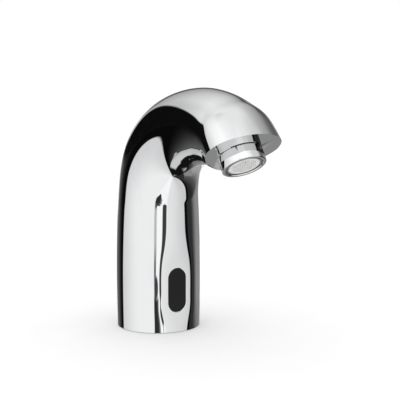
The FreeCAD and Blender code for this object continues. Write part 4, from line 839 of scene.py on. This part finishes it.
def threaded_outlet():
    """Brass outlet bush with its M24x1 thread cut as a helical groove."""
    piece = merged_copy("threaded_outlet", "outlet_nipple")
    groove = bmesh.new()
    section = [(radius, THREAD_START + height) for radius, height in THREAD_GROOVE]
    wound(groove, closed_outline(groove, section), THREAD_TURNS, THREAD_PITCH, THREAD_STEPS)
    groove.transform(OUTLET_PLACE)
    cut(piece, as_piece("thread_groove", groove))
    return smooth(piece)


for name, node, joint, low, high, turns, wire, stroke in SPRINGS:
    coil = stand_in(coil_spring(name, low, high, turns, wire), node, "tap_body", "steel")
    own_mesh(coil)

stand_in(threaded_outlet(), "outlet_nipple", "tap_body", "raw_brass")

# The rubber membrane as a piece with a mesh of its own, from the CAD node's mesh; in the tap it flattens
# as the disc in it lifts.
membrane = smooth(merged_copy("valve_membrane", "diaphragm"))
stand_in(membrane, "diaphragm", "tap_body", "black_rubber")
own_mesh(membrane)


# ---------------------------------------------------------------- the sensor's window

LENS_BACK = 21.6
LENS_THICKNESS = 1.4
LENS_FRONT = LENS_BACK + LENS_THICKNESS
LENS_ROUNDING = 0.3


def window_lens():
    """Smoked window: round-ended plate with a softened front edge."""
    bm = stadium(WINDOW_WIDTH, WINDOW_HEIGHT, LENS_BACK, 128)
    points, _ = drawn_out(bmesh.ops.extrude_face_region(bm, geom=list(bm.faces)))
    bmesh.ops.translate(bm, verts=points, vec=(0, -LENS_THICKNESS * MM, 0))
    bmesh.ops.recalc_face_normals(bm, faces=bm.faces)
    rounded(bm, LENS_ROUNDING, 3,
            lambda edge: all(abs(end.co.y + LENS_FRONT * MM) < SAME_SPOT for end in edge.verts))
    return smooth(as_piece("window_lens", bm), sharp=35)


stand_in(window_lens(), "sensor_window", "tap_body", "dark_lens")


# ---------------------------------------------------------------- studio

FLOOR_RADIUS = 6.0
FLOOR_DROP = 0.0003
DEGREES = 180 / math.pi

# Levels of light for matt faces, for the backdrop, and for what comes by two reflections.
MATT_LIGHT = 1.1
BACKDROP = 1.0
TWICE = 0.78
TWICE_IN_SHADE = 0.008


def floor():
    """Pale floor just under the foot. The metal doesn't mirror it; the studio has what it mirrors."""
    bm = bmesh.new()
    bmesh.ops.create_circle(bm, cap_ends=True, segments=96, radius=FLOOR_RADIUS)
    bmesh.ops.translate(bm, verts=bm.verts, vec=(0, 0, -FLOOR_DROP))
    piece = as_piece("studio_floor", bm)
    material, r = new_finish("pale_floor")
    grain = r.noise(r.place(), scale=40.0)
    pale, white = (0.96, 0.96, 0.96), (0.985, 0.985, 0.985)
    r.finish(Base_Color=r.tint(grain, pale, white), Roughness=0.9)
    piece.data.materials.append(material)
    piece.visible_glossy = False


class Studio(Recipe):
    """Soft studio round the tap, as levels of light from 0 black to 1 white by direction.

    Directions are in degrees: side runs from -180 to 180 with 0 ahead of the tap and 90 on its right,
    turn is the same from 0 to 360, and height is up from level.
    """

    def __init__(self, tree):
        super().__init__(tree)
        where = self.node("ShaderNodeTexCoord")
        parts = self.node("ShaderNodeSeparateXYZ", None, Vector=self.out(where, "Generated"))
        x, y, z = (self.out(parts, k) for k in range(3))
        self.height = z.smallest(1.0).largest(-1.0).maths("ARCSINE") * DEGREES
        self.side = x.maths("ARCTAN2", y * -1.0) * DEGREES
        self.turn = (self.side + 360.0).maths("MODULO", 360.0)
        self.light = self.walls()

    def lay(self, level, share):
        """Lays a level of light over what is there."""
        self.light = self.blend(self.light, level, share)

    def patch(self, level, around, span, rise):
        """Lays a level on one patch: from, to and softness, round the tap and then up."""
        self.lay(level, self.band(around, *span) * self.band(self.height, *rise))

    def oval(self, around, middle, half_width, half_height):
        """0 in the middle of an oval of directions, 1 on its edge and more outside."""
        across = (around - middle[0]) / half_width
        up = (self.height - middle[1]) / half_height
        return across.maths("POWER", 2.0) + up.maths("POWER", 2.0)

    def walls(self):
        """White walls: brightest ahead on the left, softer towards the back and the right."""
        left = self.rise(self.side, -160, -80) * 0.30 + 0.68
        ahead = self.band(self.side, -33, -4, 6) * 0.10
        right = left + ahead - self.rise(self.side, -8, 2) * 0.10 - self.rise(self.side, 4, 60) * 0.20
        upper = self.rise(self.height, 4, 30) * 0.19 - self.rise(self.height, 46, 64) * 0.14
        return right + upper * (1 - self.rise(self.side, 14, 34))

    def ceiling(self):
        """Ceiling that falls off to the right and rises again behind, with a dark corner."""
        on_right = self.rise(self.height, 22, 40) * 0.22 + self.rise(self.height, 30, 80) * 0.43 + 0.13
        at_back = self.rise(self.height, 8, 55) * 0.43 + 0.48
        backward = ((self.turn - 112.0) / 72.0).smallest(1.0).largest(0.0)
        corner_top = (self.turn - 134.0) * -0.36 + 25.0
        below_corner = 1 - self.rise(self.height - corner_top, -1.2, 1.2)
        sky = self.blend(on_right, at_back, backward)
        sky = self.blend(sky, 0.10, self.band(self.turn, 117, 169, 3) * below_corner)
        self.lay(sky, self.band(self.turn, 78, 206, 9) * self.rise(self.height, 2, 9))
        self.lay(0.9, self.rise(self.height, 58, 84))

    def black_flag(self):
        """Black flag on the right, paler in its upper strip and away from its edge."""
        edge = (self.rise(self.height, -24, -12) * -11.5
                + (-24.0 - self.height).largest(0.0) * 0.45 + 62.5)
        inside = self.turn - edge
        upper = self.rise(self.turn, 76, 106) * 0.25 + 0.03
        lower = self.rise(self.turn, 86, 110) * 0.06 + self.rise(self.turn, 106, 140) * 0.28 + 0.022
        flag = self.blend(lower, upper, self.rise(self.height, -18, -12)) * self.rise(inside, 7.5, 13)
        self.lay(flag + 0.003, self.rise(inside, -0.6, 0.6) * (1 - self.rise(self.turn, 145, 150))
                 * (1 - self.rise(self.height, 9, 15)))

    def dark_room(self):
        """Dark room behind, below the ceiling's far edge, with a black oval."""
        far_edge = self.rise(self.height, -16, 2) * 9.0 + 215.5
        room = (0.36 - self.rise(self.turn, 146, 174) * 0.23 - self.rise(self.turn, 178, 204) * 0.11
                - self.rise(self.turn, 199, 210) * 0.017)
        self.lay(room, self.rise(self.turn, 145, 150) * (1 - self.rise(self.turn - far_edge, -1.0, 1.0))
                 * (1 - self.rise(self.height, -1, 2)))
        oval = self.oval(self.turn, (197.0, 0.0), 25.0, 20.6)
        self.lay(0.004, (1 - self.rise(oval, 0.9, 1.1)) * self.rise(self.height, -3, 0))

    def narrow_lights(self):
        """Three narrow lights in the dark room."""
        self.patch(1.15, self.turn, (138, 148, 1.2), (-12.9, -10.0, 0.4))
        fading = 1.15 - self.rise(self.turn, 160, 182) * 0.95
        self.patch(fading, self.turn, (154, 180, 1.5), (-8.0, -2.8, 0.8))
        self.patch(0.6, self.turn, (160, 195, 2), (-60, -39, 2))

    def struts(self):
        """Dark struts in front: one that leans, and an upright one with a broad foot and a knot."""
        half_width = (self.rise(self.height, -15.2, -12.4) * 0.85 + 0.15) * 5.75
        off_middle = (self.side + 10.25).maths("ABSOLUTE")
        leaning = 1 - self.rise(off_middle - half_width, -1.3, 1.3)
        self.lay(0.05, leaning * self.band(self.height, -16.0, -5.4, 0.6))
        paler_up = self.rise(self.height, -9.5, -6.5) * 0.42 + 0.12
        self.patch(paler_up, self.side, (-38.5, -32, 1.3), (-18.0, -4.0, 0.8))
        half_width = (-24.0 - self.height).largest(0.0) * -0.85 + 9.5
        off_middle = (self.side + 29.5).maths("ABSOLUTE")
        foot = 1 - self.rise(off_middle - half_width, -1.2, 1.2)
        paler_right = self.rise(self.side, -28, -15) * 0.45 + 0.03
        self.lay(paler_right, foot * self.band(self.height, -34.5, -13.6, 0.6))
        knot = self.oval(self.side, (-30.0, -12.1), 7.5, 1.7)
        self.lay(0.06, 1 - self.rise(knot, 0.6, 1.3))

    def deep_floor(self):
        """What the tap sees of the floor, deep below on the right and behind."""
        self.patch(0.27, self.turn, (119, 152, 3), (-58, -38, 3))
        self.lay(0.03, self.band(self.turn, 88, 132, 4) * (1 - self.rise(self.height, -62, -58)))

    def by_ray(self):
        """Dims light that comes by two reflections, and evens it for matt faces and the backdrop."""
        rays = self.node("ShaderNodeLightPath")
        # Ray Depth is 2 after one reflection and 3 after two.
        twice = self.rise(self.out(rays, "Ray Depth"), 2.4, 2.6)
        ahead = self.band(self.side, -26, 88, 7) * (1 - self.rise(self.height, -59, -51))
        shade = (1 - self.rise(self.height, -68, -62)).largest(ahead)
        self.lay(self.light * TWICE, twice)
        self.lay(TWICE_IN_SHADE, twice * shade)
        self.light = self.blend(MATT_LIGHT, self.light, self.out(rays, "Is Glossy Ray"))
        self.lay(BACKDROP, self.out(rays, "Is Camera Ray"))

    def shine(self):
        glow = self.node("ShaderNodeBackground", None, Color=(1, 1, 1, 1), Strength=self.light)
        closing = self.node("ShaderNodeOutputWorld")
        self.tree.links.new(glow.outputs["Background"], closing.inputs["Surface"])


def studio():
    world = bpy.data.worlds.new("soft_studio")
    bpy.context.scene.world = world
    world.use_nodes = True
    light = Studio(world.node_tree)
    light.ceiling()
    light.black_flag()
    light.dark_room()
    light.narrow_lights()
    light.struts()
    light.deep_floor()
    light.by_ray()
    light.shine()


# ---------------------------------------------------------------- camera

VIEW_TURN = math.radians(-29.37)
VIEW_TILT = math.radians(8.49)
VIEW_CENTRE = Vector((0, -0.035, 0.07615))
VIEW_DISTANCE = 0.72219
LENS = 112.69
SENSOR = 36
SHIFT_X = 0.0329
SHIFT_Y = 0.0175


def camera():
    """Camera at the photograph's place, by its turn and tilt round a point ahead of the column."""
    back = Vector((math.sin(VIEW_TURN) * math.cos(VIEW_TILT),
                   -math.cos(VIEW_TURN) * math.cos(VIEW_TILT), math.sin(VIEW_TILT)))
    right = Vector((math.cos(VIEW_TURN), math.sin(VIEW_TURN), 0))
    place = Matrix((right, back.cross(right), back)).transposed().to_4x4()
    place.translation = VIEW_CENTRE + back * VIEW_DISTANCE
    data = bpy.data.cameras.new("camera")
    data.sensor_width = SENSOR
    data.lens = LENS
    data.shift_x = SHIFT_X
    data.shift_y = SHIFT_Y
    seen = bpy.data.objects.new("camera", data)
    bpy.context.scene.collection.objects.link(seen)
    seen.matrix_world = place
    bpy.context.scene.camera = seen


floor()
studio()
camera()
bpy.context.scene.view_settings.view_transform = "Standard"
